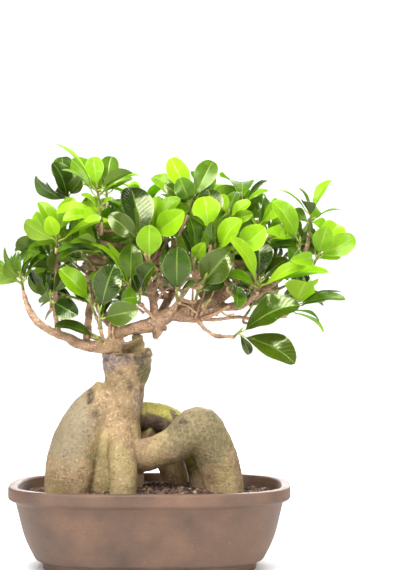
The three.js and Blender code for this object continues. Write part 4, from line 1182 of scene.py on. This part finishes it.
def make_branches(tree, material):
    """The grafted branches in one skin, with knots, creases and the square blocks of the graft."""
    limbs = []
    for name, run in zip(BRANCHES, tree.branches):
        if name not in TRUNK_PARTS:
            count, finer = FINER_RUNS.get(name, (0, []))
            run = smooth_run([*finer, *run[count:]], BRANCH_STEP)
            limbs.append(loft(run, BRANCH_SIDES, BRANCH_UNEVENNESS))
    limbs += [loft(smooth_run(block, BRANCH_STEP), BLOCK_SIDES, BLOCK_UNEVENNESS, BLOCK_SQUARENESS)
              for block in GRAFT_BLOCKS]
    points, normals, faces = fuse(limbs, BRANCH_VOXEL, BRANCH_SMOOTHING)
    (lumps, folds, pits, _), height = bark_noise(points, BRANCH_NOISE)
    knots = smooth_step(*KNOTS, lumps)
    creases = smooth_step(*CREASES, np.abs(folds))
    height = height + KNOT_HEIGHT * knots - CREASE_DEPTH * creases
    paint = patches(GRAFT_PATCHES, points, 0.8 * pits + 0.5 * lumps)
    # Painted shade in the creases, and a lesser darkening on the knots.
    paint[:, 1] = np.maximum(paint[:, 1], CREASE_SHADE_AND_KNOT_DARKNESS * np.maximum(0.7 * knots, creases))
    piece = make_piece("branch_bark", points + normals * height[:, None], faces, material)
    set_values(piece, "paint", paint)


def make_twigs(tree, material):
    """The thin twigs, each with a flared foot and swollen nodes."""
    skin = Skin()
    runs = [twig.run(TWIG_STEPS) for twig in tree.twigs]
    runs += [smooth_run(twig, BARE_TWIG_STEP) for twig in BARE_TWIGS]
    for number, run in enumerate(runs):
        travelled = np.append(0, np.cumsum(np.linalg.norm(np.diff(run[:, :3], axis=0), axis=1)))
        foot = FOOT_FLARE * np.exp(-travelled / FOOT_LENGTH)
        nodes = NODE_SWELLING * np.maximum(0, np.cos(2 * np.pi * travelled / NODE_SPACING + number)) ** 4
        run[:, 3] *= 1 + foot + nodes
        share = np.repeat(travelled / travelled[-1], TWIG_SIDES)
        tone = np.stack([0 * share, 0 * share, share], axis=1)
        skin.add(*loft(run, TWIG_SIDES, ROOT_UNEVENNESS), tone=tone)
    piece = make_piece("twig_bark", np.concatenate(skin.points), skin.faces, material)
    set_values(piece, "paint", np.concatenate(skin.tone))


# The pot and the soil. The profile is rows of the inset from the pot's outline, the height and how
# round the corner is there.
POT_HALF_LENGTH = 140
POT_HALF_DEPTH = 98
POT_SQUARENESS = 3
POT_SIDES = 160
POT_PROFILE = (
    (34, 0, 0.8), (33, 7, 1.5), (27, 9, 2.5), (16, 30, 12), (7, 67, 2), (0, 70, 2), (0, 82, 2.4),
    (9, 82, 2.4), (12, 66, 2), (24, 30, 8), (34, 17, 3),
)
# A corner takes up at most this share of the sides that meet there.
LONGEST_CORNER = 0.45
DRAIN_RADIUS = 8
DRAIN_SPACING = 56
DRAIN_SIDES = 40
DRILL_HEIGHTS = (-20, 40)
SOIL_EDGE = 70
SOIL_MOUND = 10
SOIL_LUMP = 0.9
SOIL_WAVES = (9, 7)
SOIL_INSET = 13
GRAIN_SPACING = 4.1
GRAIN_ROW_SPACING = GRAIN_SPACING * 0.87
GRAIN_JITTER = 0.7
GRAIN_SIZES = (1.7, 3.1)
GRAIN_HEIGHTS = (-0.6, 0.9)
GRAIN_FINENESS = 1.5
GRAIN_TURN = 6.3
GRAIN_TILT = 3.1
GRAIN_SQUASH = 0.65
GRAIN_FLATNESS = 0.7
GRAIN_ROOM = 0.2
GRAIN_SEED = 5
ROOT_HEIGHT_OVER_SOIL = 14
ICOSAHEDRON_FACES = [
    [0, 11, 5], [0, 5, 1], [0, 1, 7], [0, 7, 10], [0, 10, 11], [1, 5, 9], [5, 11, 4], [11, 10, 2],
    [10, 7, 6], [7, 1, 8], [3, 9, 4], [3, 4, 2], [3, 2, 6], [3, 6, 8], [3, 8, 9], [4, 9, 5],
    [2, 4, 11], [6, 2, 10], [8, 6, 7], [9, 8, 1],
]


def rounded_profile(corners, steps=5):
    """A profile whose corners, each with its own radius, are drawn as small curves."""
    path = []
    for i, (inset, height, radius) in enumerate(corners):
        corner = np.array((inset, height), float)
        ends = []
        for other in (corners[max(i - 1, 0)], corners[min(i + 1, len(corners) - 1)]):
            side = np.array(other[:2], float) - corner
            length = np.linalg.norm(side)
            reach = min(radius, LONGEST_CORNER * length)
            ends.append(corner + side * (reach / length if length else 0))
        for t in np.linspace(0, 1, steps):
            path.append((1 - t) ** 2 * ends[0] + 2 * t * (1 - t) * corner + t * t * ends[1])
    return np.array(path)


def make_pot(material):
    angles = 2 * np.pi * np.arange(POT_SIDES) / POT_SIDES
    reach = square_reach(angles, POT_SQUARENESS)
    profile = rounded_profile(POT_PROFILE)
    rings = [np.stack([(POT_HALF_LENGTH - inset) * reach * np.cos(angles),
                       (POT_HALF_DEPTH - inset) * reach * np.sin(angles),
                       np.full(POT_SIDES, height)], axis=1) for inset, height in profile]
    faces = ring_faces(len(rings), POT_SIDES)
    pot = make_piece("pot_body", np.concatenate(rings), faces, material)
    for x in (-DRAIN_SPACING, DRAIN_SPACING):
        drill = drill_at(x)
        cut = pot.modifiers.new("Drain", "BOOLEAN")
        cut.object = drill
        evaluated = pot.evaluated_get(bpy.context.evaluated_depsgraph_get())
        drilled = bpy.data.meshes.new_from_object(evaluated)
        pot.modifiers.clear()
        pot.data = drilled
        bpy.data.objects.remove(drill)
    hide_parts("pot")


def drill_at(x):
    run = np.array([[x, 0, height, DRAIN_RADIUS] for height in DRILL_HEIGHTS], float)
    return new_object("drill", new_mesh("drill", *loft(run, DRAIN_SIDES)))


def soil_height(x, y):
    near = np.maximum(0, 1 - np.hypot(x / POT_HALF_LENGTH, y / POT_HALF_DEPTH))
    lump = np.sin(x / SOIL_WAVES[0]) * np.cos(y / SOIL_WAVES[1])
    return SOIL_EDGE + SOIL_MOUND * near + SOIL_LUMP * lump


def make_grains(tree, material):
    """Coarse soil: rough grains packed over the soil's surface, with a few half buried."""
    draw = Stream(GRAIN_SEED)
    shape = icosahedron()
    skin = Skin()
    roots = wood_places([smooth_run(run, ROOT_STEP) for run in tree.roots], [-1] * len(tree.roots))
    roots = roots[roots[:, 2] < SOIL_EDGE + ROOT_HEIGHT_OVER_SOIL]
    columns = int(2 * POT_HALF_LENGTH / GRAIN_SPACING)
    rows = int(2 * POT_HALF_DEPTH / GRAIN_ROW_SPACING)
    half_length, half_depth = POT_HALF_LENGTH - SOIL_INSET, POT_HALF_DEPTH - SOIL_INSET
    for row in range(rows):
        for column in range(columns):
            x = column + 0.5 * (row % 2) - columns / 2 + GRAIN_JITTER * (draw() - 0.5)
            y = row - rows / 2 + GRAIN_JITTER * (draw() - 0.5)
            x, y = x * GRAIN_SPACING, y * GRAIN_ROW_SPACING
            size = mix(*GRAIN_SIZES, draw() ** GRAIN_FINENESS)
            turn, tilt, squash = GRAIN_TURN * draw(), GRAIN_TILT * draw(), mix(GRAIN_SQUASH, 1, draw())
            tone = (draw(), draw(), draw())
            angle = math.atan2(y / POT_HALF_DEPTH, x / POT_HALF_LENGTH)
            reach = square_reach(angle, POT_SQUARENESS)
            outward = math.hypot(x / (half_length - size), y / (half_depth - size))
            middle = np.array((x, y, soil_height(x, y) + mix(*GRAIN_HEIGHTS, tone[2])))
            to_root = np.linalg.norm(roots[:, :3] - middle, axis=1) - roots[:, 3]
            if outward > reach or to_root.min() < GRAIN_ROOM * size:
                continue
            stone = shape * (1, squash, mix(GRAIN_FLATNESS, 1, squash)) * size
            spin = np.array(Matrix.Rotation(turn, 3, "Z"))
            lean = np.array(Matrix.Rotation(tilt, 3, "X"))
            stone = stone @ lean.T @ spin.T + middle
            skin.add(stone, ICOSAHEDRON_FACES, tone=tone)
    skin.make("soil_grains", material, "soil", smooth=False)


def icosahedron():
    """The corners of a solid with 20 triangles, 1 from its middle."""
    long = (1 + math.sqrt(5)) / 2
    corners = np.array([
        (-1, long, 0), (1, long, 0), (-1, -long, 0), (1, -long, 0),
        (0, -1, long), (0, 1, long), (0, -1, -long), (0, 1, -long),
        (long, 0, -1), (long, 0, 1), (-long, 0, -1), (-long, 0, 1),
    ])
    return corners / np.linalg.norm(corners[0])


class Shader:
    """Writes a material's nodes in few words."""

    def __init__(self, name):
        self.material = bpy.data.materials.new(name)
        self.material.use_nodes = True
        self.nodes = self.material.node_tree.nodes
        self.links = self.material.node_tree.links
        self.nodes.clear()

    def node(self, kind, inputs=(), **settings):
        made = self.nodes.new(kind)
        for key, value in settings.items():
            setattr(made, key, value)
        for key, value in dict(inputs).items():
            if isinstance(value, bpy.types.NodeSocket):
                self.links.new(value, made.inputs[key])
            else:
                made.inputs[key].default_value = value
        return made

    def values(self, name):
        """The three numbers that each point of a mesh carries under a name."""
        vector = self.node("ShaderNodeAttribute", attribute_name=name).outputs["Vector"]
        return self.node("ShaderNodeSeparateXYZ", {0: vector}).outputs

    def maths(self, operation, *values):
        return self.node("ShaderNodeMath", enumerate(values), operation=operation).outputs[0]

    def times(self, first, second):
        return self.maths("MULTIPLY", first, second)

    def plus(self, first, second):
        return self.maths("ADD", first, second)

    def minus(self, first, second):
        return self.maths("SUBTRACT", first, second)

    def step(self, value, low, high, start=0, end=1):
        """A smooth way from start to end while a value goes from low to high."""
        inputs = {"Value": value, "From Min": low, "From Max": high, "To Min": start, "To Max": end}
        return self.node("ShaderNodeMapRange", inputs, interpolation_type="SMOOTHSTEP").outputs[0]

    def mix(self, factor, first, second, blend="MIX"):
        inputs = {0: factor, 6: first, 7: second}
        return self.node("ShaderNodeMix", inputs, data_type="RGBA", blend_type=blend).outputs[2]

    def tint(self, base, mask, strength, colour):
        """The base with a colour over it where a mask is 1, as strong as given."""
        return self.mix(self.times(mask, strength), base, colour)

    def ramp(self, value, stops):
        made = self.node("ShaderNodeValToRGB", {0: value})
        elements = made.color_ramp.elements
        for i, (place, colour) in enumerate(stops):
            element = elements[i] if i < 2 else elements.new(place)
            element.position = place
            element.color = colour
        return made.outputs[0]

    def place(self, stretch=(1, 1, 1)):
        """A point's place on the object in metres, stretched."""
        coordinates = self.node("ShaderNodeTexCoord").outputs["Object"]
        return self.node("ShaderNodeMapping", {"Vector": coordinates, "Scale": stretch}).outputs[0]

    def noise(self, size, detail=2, stretch=(1, 1, 1), roughness=0.55):
        """Noise with lumps of a size in millimetres."""
        inputs = {"Vector": self.place(stretch), "Scale": 1 / (size * MM), "Detail": detail,
                  "Roughness": roughness}
        return self.node("ShaderNodeTexNoise", inputs).outputs[0]

    def cells(self, size, stretch=(1, 1, 1)):
        """How far a point is from the nearest of scattered dots, in shares of their spacing."""
        inputs = {"Vector": self.place(stretch), "Scale": 1 / (size * MM)}
        return self.node("ShaderNodeTexVoronoi", inputs).outputs["Distance"]

    def bump(self, height, depth):
        return self.node("ShaderNodeBump", {"Height": height, "Distance": depth * MM}).outputs[0]

    def principled(self, inputs):
        return self.node("ShaderNodeBsdfPrincipled", inputs).outputs[0]

    def finish(self, surface):
        self.node("ShaderNodeOutputMaterial", {"Surface": surface})
        return self.material

    def finish_plain(self, colour, roughness, relief, depth):
        """Ends a material with a plain surface, whose relief has a depth in millimetres."""
        return self.finish(self.principled({"Base Color": colour, "Roughness": roughness,
                                            "Normal": self.bump(relief, depth)}))


def rgb(red, green, blue):
    """A colour given as it looks on a screen, from 0 to 255, for a shader."""
    linear = [value / 255 / 12.92 if value < 11 else ((value / 255 + 0.055) / 1.055) ** 2.4
              for value in (red, green, blue)]
    return (*linear, 1)


def leaf_material():
    s = Shader("leaf")
    share, side, under = s.values("place")
    youth, jitter, chance = s.values("tone")
    side = s.maths("ABSOLUTE", side)
    blotches = s.noise(9, 3)
    ripeness = s.plus(youth, s.times(s.minus(blotches, 0.5), 0.3))
    blade = s.ramp(ripeness, [
        (0, rgb(12, 32, 3)), (1, rgb(188, 224, 40)), (0.2, rgb(32, 68, 4)), (0.36, rgb(84, 128, 8)),
        (0.5, rgb(116, 164, 10)), (0.75, rgb(158, 206, 18)),
    ])
    blade = s.tint(blade, jitter, 0.3, rgb(112, 132, 26))
    below = s.mix(0.5, blade, s.ramp(youth, [(0, rgb(112, 128, 72)), (1, rgb(166, 190, 70))]))
    blade = s.mix(under, blade, below)
    slant = s.minus(s.times(share, 13), s.times(side, 2.6))
    ribs = s.step(s.maths("PINGPONG", slant, 0.5), 0.1, 0.0)
    ribs = s.times(ribs, s.step(side, 0.98, 0.6))
    pale = s.mix(0.6, blade, s.ramp(youth, [(0, rgb(116, 148, 60)), (1, rgb(214, 226, 112))]))
    blade = s.tint(blade, ribs, 0.25, pale)
    midrib = s.step(side, 0.085, 0.03)
    blade = s.tint(blade, midrib, 0.85, pale)
    # Painted glow of backlight: a pale rim along the blade's edge.
    rim = s.step(side, 0.9, 0.98)
    blade = s.tint(blade, rim, 0.7, pale)
    stalk = s.mix(s.step(share, -0.3, -0.9), rgb(172, 182, 84), rgb(120, 124, 62))
    colour = s.mix(s.step(share, -0.02, -0.1), blade, stalk)
    glow = s.mix(1, colour, (1.2, 1.4, 0.4, 1), "MULTIPLY")
    height = s.minus(s.times(s.noise(2.2), 0.3), s.times(ribs, 0.5))
    normal = s.bump(s.plus(height, s.times(s.noise(20, 1), 5)), 0.35)
    rough = s.plus(s.step(youth, 0, 1, 0.16, 0.34), s.times(under, 0.3))
    rough = s.plus(rough, s.times(chance, 0.1))
    gloss = s.step(youth, 0, 1, 0.75, 0.3)
    surface = s.principled({"Base Color": colour, "Roughness": rough, "Specular IOR Level": gloss,
                            "Specular Tint": (0.9, 1, 0.55, 1), "Normal": normal})
    through = s.node("ShaderNodeBsdfTranslucent", {"Color": glow, "Normal": normal}).outputs[0]
    thin = s.step(youth, 0, 1, 0.14, 0.42)
    return s.finish(s.node("ShaderNodeMixShader", {0: thin, 1: surface, 2: through}).outputs[0])


def trunk_material():
    s = Shader("trunk_bark")
    moss, dark, sheltered = s.values("paint")
    grey, olive, pale = s.values("stain")
    broad = s.noise(24, 4)
    streaks = s.noise(7, 4, (1, 1, 0.3), 0.65)
    mottle = s.noise(3, 4, roughness=0.7)
    fine = s.noise(1.2, 3, roughness=0.7)
    bark = s.ramp(broad, [(0.25, rgb(104, 84, 58)), (0.75, rgb(170, 144, 108)), (0.5, rgb(142, 117, 83))])
    bark = s.tint(bark, s.step(streaks, 0.42, 0.68), 0.4, rgb(112, 90, 62))
    bark = s.tint(bark, s.step(mottle, 0.5, 0.7), 0.5, rgb(200, 178, 142))
    bark = s.tint(bark, pale, 0.8, s.mix(broad, rgb(118, 108, 82), rgb(146, 134, 108)))
    bark = s.tint(bark, sheltered, 0.3, rgb(140, 134, 70))
    freckles = s.step(s.cells(2.6, (1, 1, 1.6)), 0.38, 0.16)
    freckles = s.times(freckles, s.step(s.noise(11), 0.42, 0.6))
    bark = s.tint(bark, freckles, 0.75, rgb(78, 56, 38))
    ashen = s.mix(s.step(mottle, 0.38, 0.62), rgb(96, 78, 70), rgb(150, 130, 118))
    bark = s.mix(grey, bark, ashen)
    bark = s.mix(olive, bark, s.mix(s.step(mottle, 0.4, 0.6), rgb(66, 58, 28), rgb(112, 104, 52)))
    # One dark colour for the scars, the chips and the painted shade under the mossy root.
    scar = s.mix(s.step(mottle, 0.35, 0.65), rgb(36, 26, 20), rgb(84, 66, 50))
    bark = s.mix(dark, bark, scar)
    green = s.ramp(fine, [(0.3, rgb(106, 102, 32)), (0.7, rgb(188, 178, 104)), (0.5, rgb(152, 144, 60))])
    bark = s.mix(s.step(s.plus(moss, s.times(mottle, 0.3)), 0.3, 0.65), bark, green)
    relief = s.plus(s.times(mottle, 0.8), s.times(fine, 0.4))
    relief = s.minus(relief, s.times(freckles, 0.5))
    rough = s.step(mottle, 0.3, 0.7, 0.62, 0.85)
    return s.finish_plain(bark, rough, relief, 1.1)


def branch_material():
    s = Shader("branch_bark")
    olive, dark, pale = s.values("paint")
    broad = s.noise(12, 3)
    rings = s.noise(1.8, 3, roughness=0.7)
    streaks = s.noise(5, 3, (0.45, 1, 1), 0.65)
    bark = s.ramp(broad, [(0.3, rgb(118, 88, 58)), (0.7, rgb(192, 160, 122)), (0.5, rgb(164, 126, 96))])
    bark = s.tint(bark, s.step(streaks, 0.44, 0.62), 0.6, rgb(122, 92, 72))
    bark = s.tint(bark, s.step(rings, 0.5, 0.68), 0.6, rgb(222, 196, 166))
    bark = s.tint(bark, pale, 0.4, rgb(206, 166, 112))
    spots = s.step(s.cells(2.2), 0.32, 0.15)
    bark = s.tint(bark, spots, 0.5, rgb(112, 78, 60))
    bark = s.tint(bark, olive, 0.85, s.mix(broad, rgb(86, 76, 30), rgb(132, 116, 62)))
    # Dark paint: dark patches, darker knots, and painted shade in the creases and on the right scion's
    # recessed block.
    bark = s.tint(bark, dark, 0.8, rgb(78, 52, 40))
    return s.finish_plain(bark, 0.66, s.plus(rings, s.times(spots, 0.5)), 0.6)


def pot_material():
    s = Shader("pot_clay")
    cloud = s.noise(40, 4)
    speck = s.noise(1.3, 2)
    clay = s.ramp(cloud, [(0.3, rgb(74, 54, 42)), (0.7, rgb(112, 84, 66))])
    clay = s.tint(clay, s.step(speck, 0.62, 0.74), 0.6, rgb(44, 30, 24))
    clay = s.tint(clay, s.step(s.noise(2.1, 2), 0.68, 0.78), 0.5, rgb(160, 132, 104))
    turned = s.noise(9, 2, (0.08, 0.08, 6))
    height = s.plus(s.times(speck, 0.5), turned)
    rough = s.step(cloud, 0.3, 0.7, 0.5, 0.68)
    return s.finish_plain(clay, rough, height, 0.35)


def soil_material():
    s = Shader("soil")
    grain = s.ramp(s.values("tone")[0], [
        (0, rgb(40, 28, 22)), (1, rgb(168, 150, 128)), (0.45, rgb(66, 46, 34)), (0.8, rgb(104, 74, 52)),
        (0.93, rgb(120, 96, 74)),
    ])
    pits = s.noise(1.1, 3)
    grain = s.tint(grain, s.step(pits, 0.4, 0.7), 0.5, rgb(30, 20, 16))
    return s.finish_plain(grain, 0.93, pits, 0.5)


def floor_material():
    s = Shader("floor")
    paper = s.mix(s.step(s.noise(400, 2), 0.3, 0.7, 0, 0.2), rgb(250, 250, 249), rgb(244, 244, 243))
    return s.finish(s.principled({"Base Color": paper, "Roughness": 0.9}))


# The studio: a pale sweep, a dim surround and large soft lights, each with its place, what it is
# aimed at, its size and its power in watts.
SWEEP_HALF_WIDTH = 4000
SWEEP_FRONT = -3500
SWEEP_BACK = 3500
SWEEP_RADIUS = 1500
SWEEP_TOP = 4000
SWEEP_STEPS = 17
SURROUND = 0.22
LIGHTS = (
    ("over", (-150, -750, 1350), (20, 0, 300), 800, 38),
    ("left", (-1300, -1300, 800), (0, 0, 280), 420, 17),
    ("right", (1400, -1200, 700), (40, 0, 280), 420, 16),
    ("behind", (200, 1500, 800), (40, 0, 300), 1200, 38),
    ("backdrop", (0, 2300, 3000), (0, 4600, 700), 2000, 100),
)


def make_sweep():
    """A floor that curves up behind, so that no edge of it shows."""
    path = [(SWEEP_FRONT, 0)]
    for angle in np.linspace(0, math.pi / 2, SWEEP_STEPS):
        path.append((SWEEP_BACK + SWEEP_RADIUS * math.sin(angle), SWEEP_RADIUS * (1 - math.cos(angle))))
    path.append((SWEEP_BACK + SWEEP_RADIUS, SWEEP_TOP))
    points = [(x, y, z) for y, z in path for x in (-SWEEP_HALF_WIDTH, SWEEP_HALF_WIDTH)]
    faces = [[2 * i, 2 * i + 1, 2 * i + 3, 2 * i + 2] for i in range(len(path) - 1)]
    mesh = new_mesh("sweep", points, faces)
    mesh.polygons.foreach_set("use_smooth", [True] * len(faces))
    mesh.materials.append(floor_material())
    new_object("sweep", mesh)


def aim(thing, place, target):
    thing.location = Vector(place) * MM
    thing.rotation_mode = "QUATERNION"
    thing.rotation_quaternion = (Vector(target) - Vector(place)).to_track_quat("-Z", "Y")


def make_lights():
    world = bpy.data.worlds.new("surround")
    world.use_nodes = True
    background = world.node_tree.nodes["Background"]
    background.inputs["Color"].default_value = (1, 1, 1, 1)
    background.inputs["Strength"].default_value = SURROUND
    bpy.context.scene.world = world
    for name, place, target, size, power in LIGHTS:
        light = bpy.data.lights.new(name, "AREA")
        light.shape = "SQUARE"
        light.size = size * MM
        light.energy = power
        aim(new_object(name, light), place, target)


def make_camera():
    lens = bpy.data.cameras.new("camera")
    lens.sensor_width = SENSOR
    lens.lens = SENSOR * CAMERA_DISTANCE / VIEW_HEIGHT
    lens.clip_end = SIGHT_IN_METRES
    camera = new_object("camera", lens)
    x, y, z = CAMERA_TARGET
    aim(camera, (x, y - CAMERA_DISTANCE, z), CAMERA_TARGET)
    bpy.context.scene.camera = camera


bpy.context.scene.view_settings.view_transform = "Standard"
make_camera()
make_sweep()
make_lights()
tree = grow_tree()
make_foliage(tree, leaf_material())
make_trunk(tree, trunk_material())
make_branches(tree, branch_material())
make_twigs(tree, branch_material())
make_pot(pot_material())
soil = soil_material()
make_grains(tree, soil)
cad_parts["soil"].data.materials[0] = soil
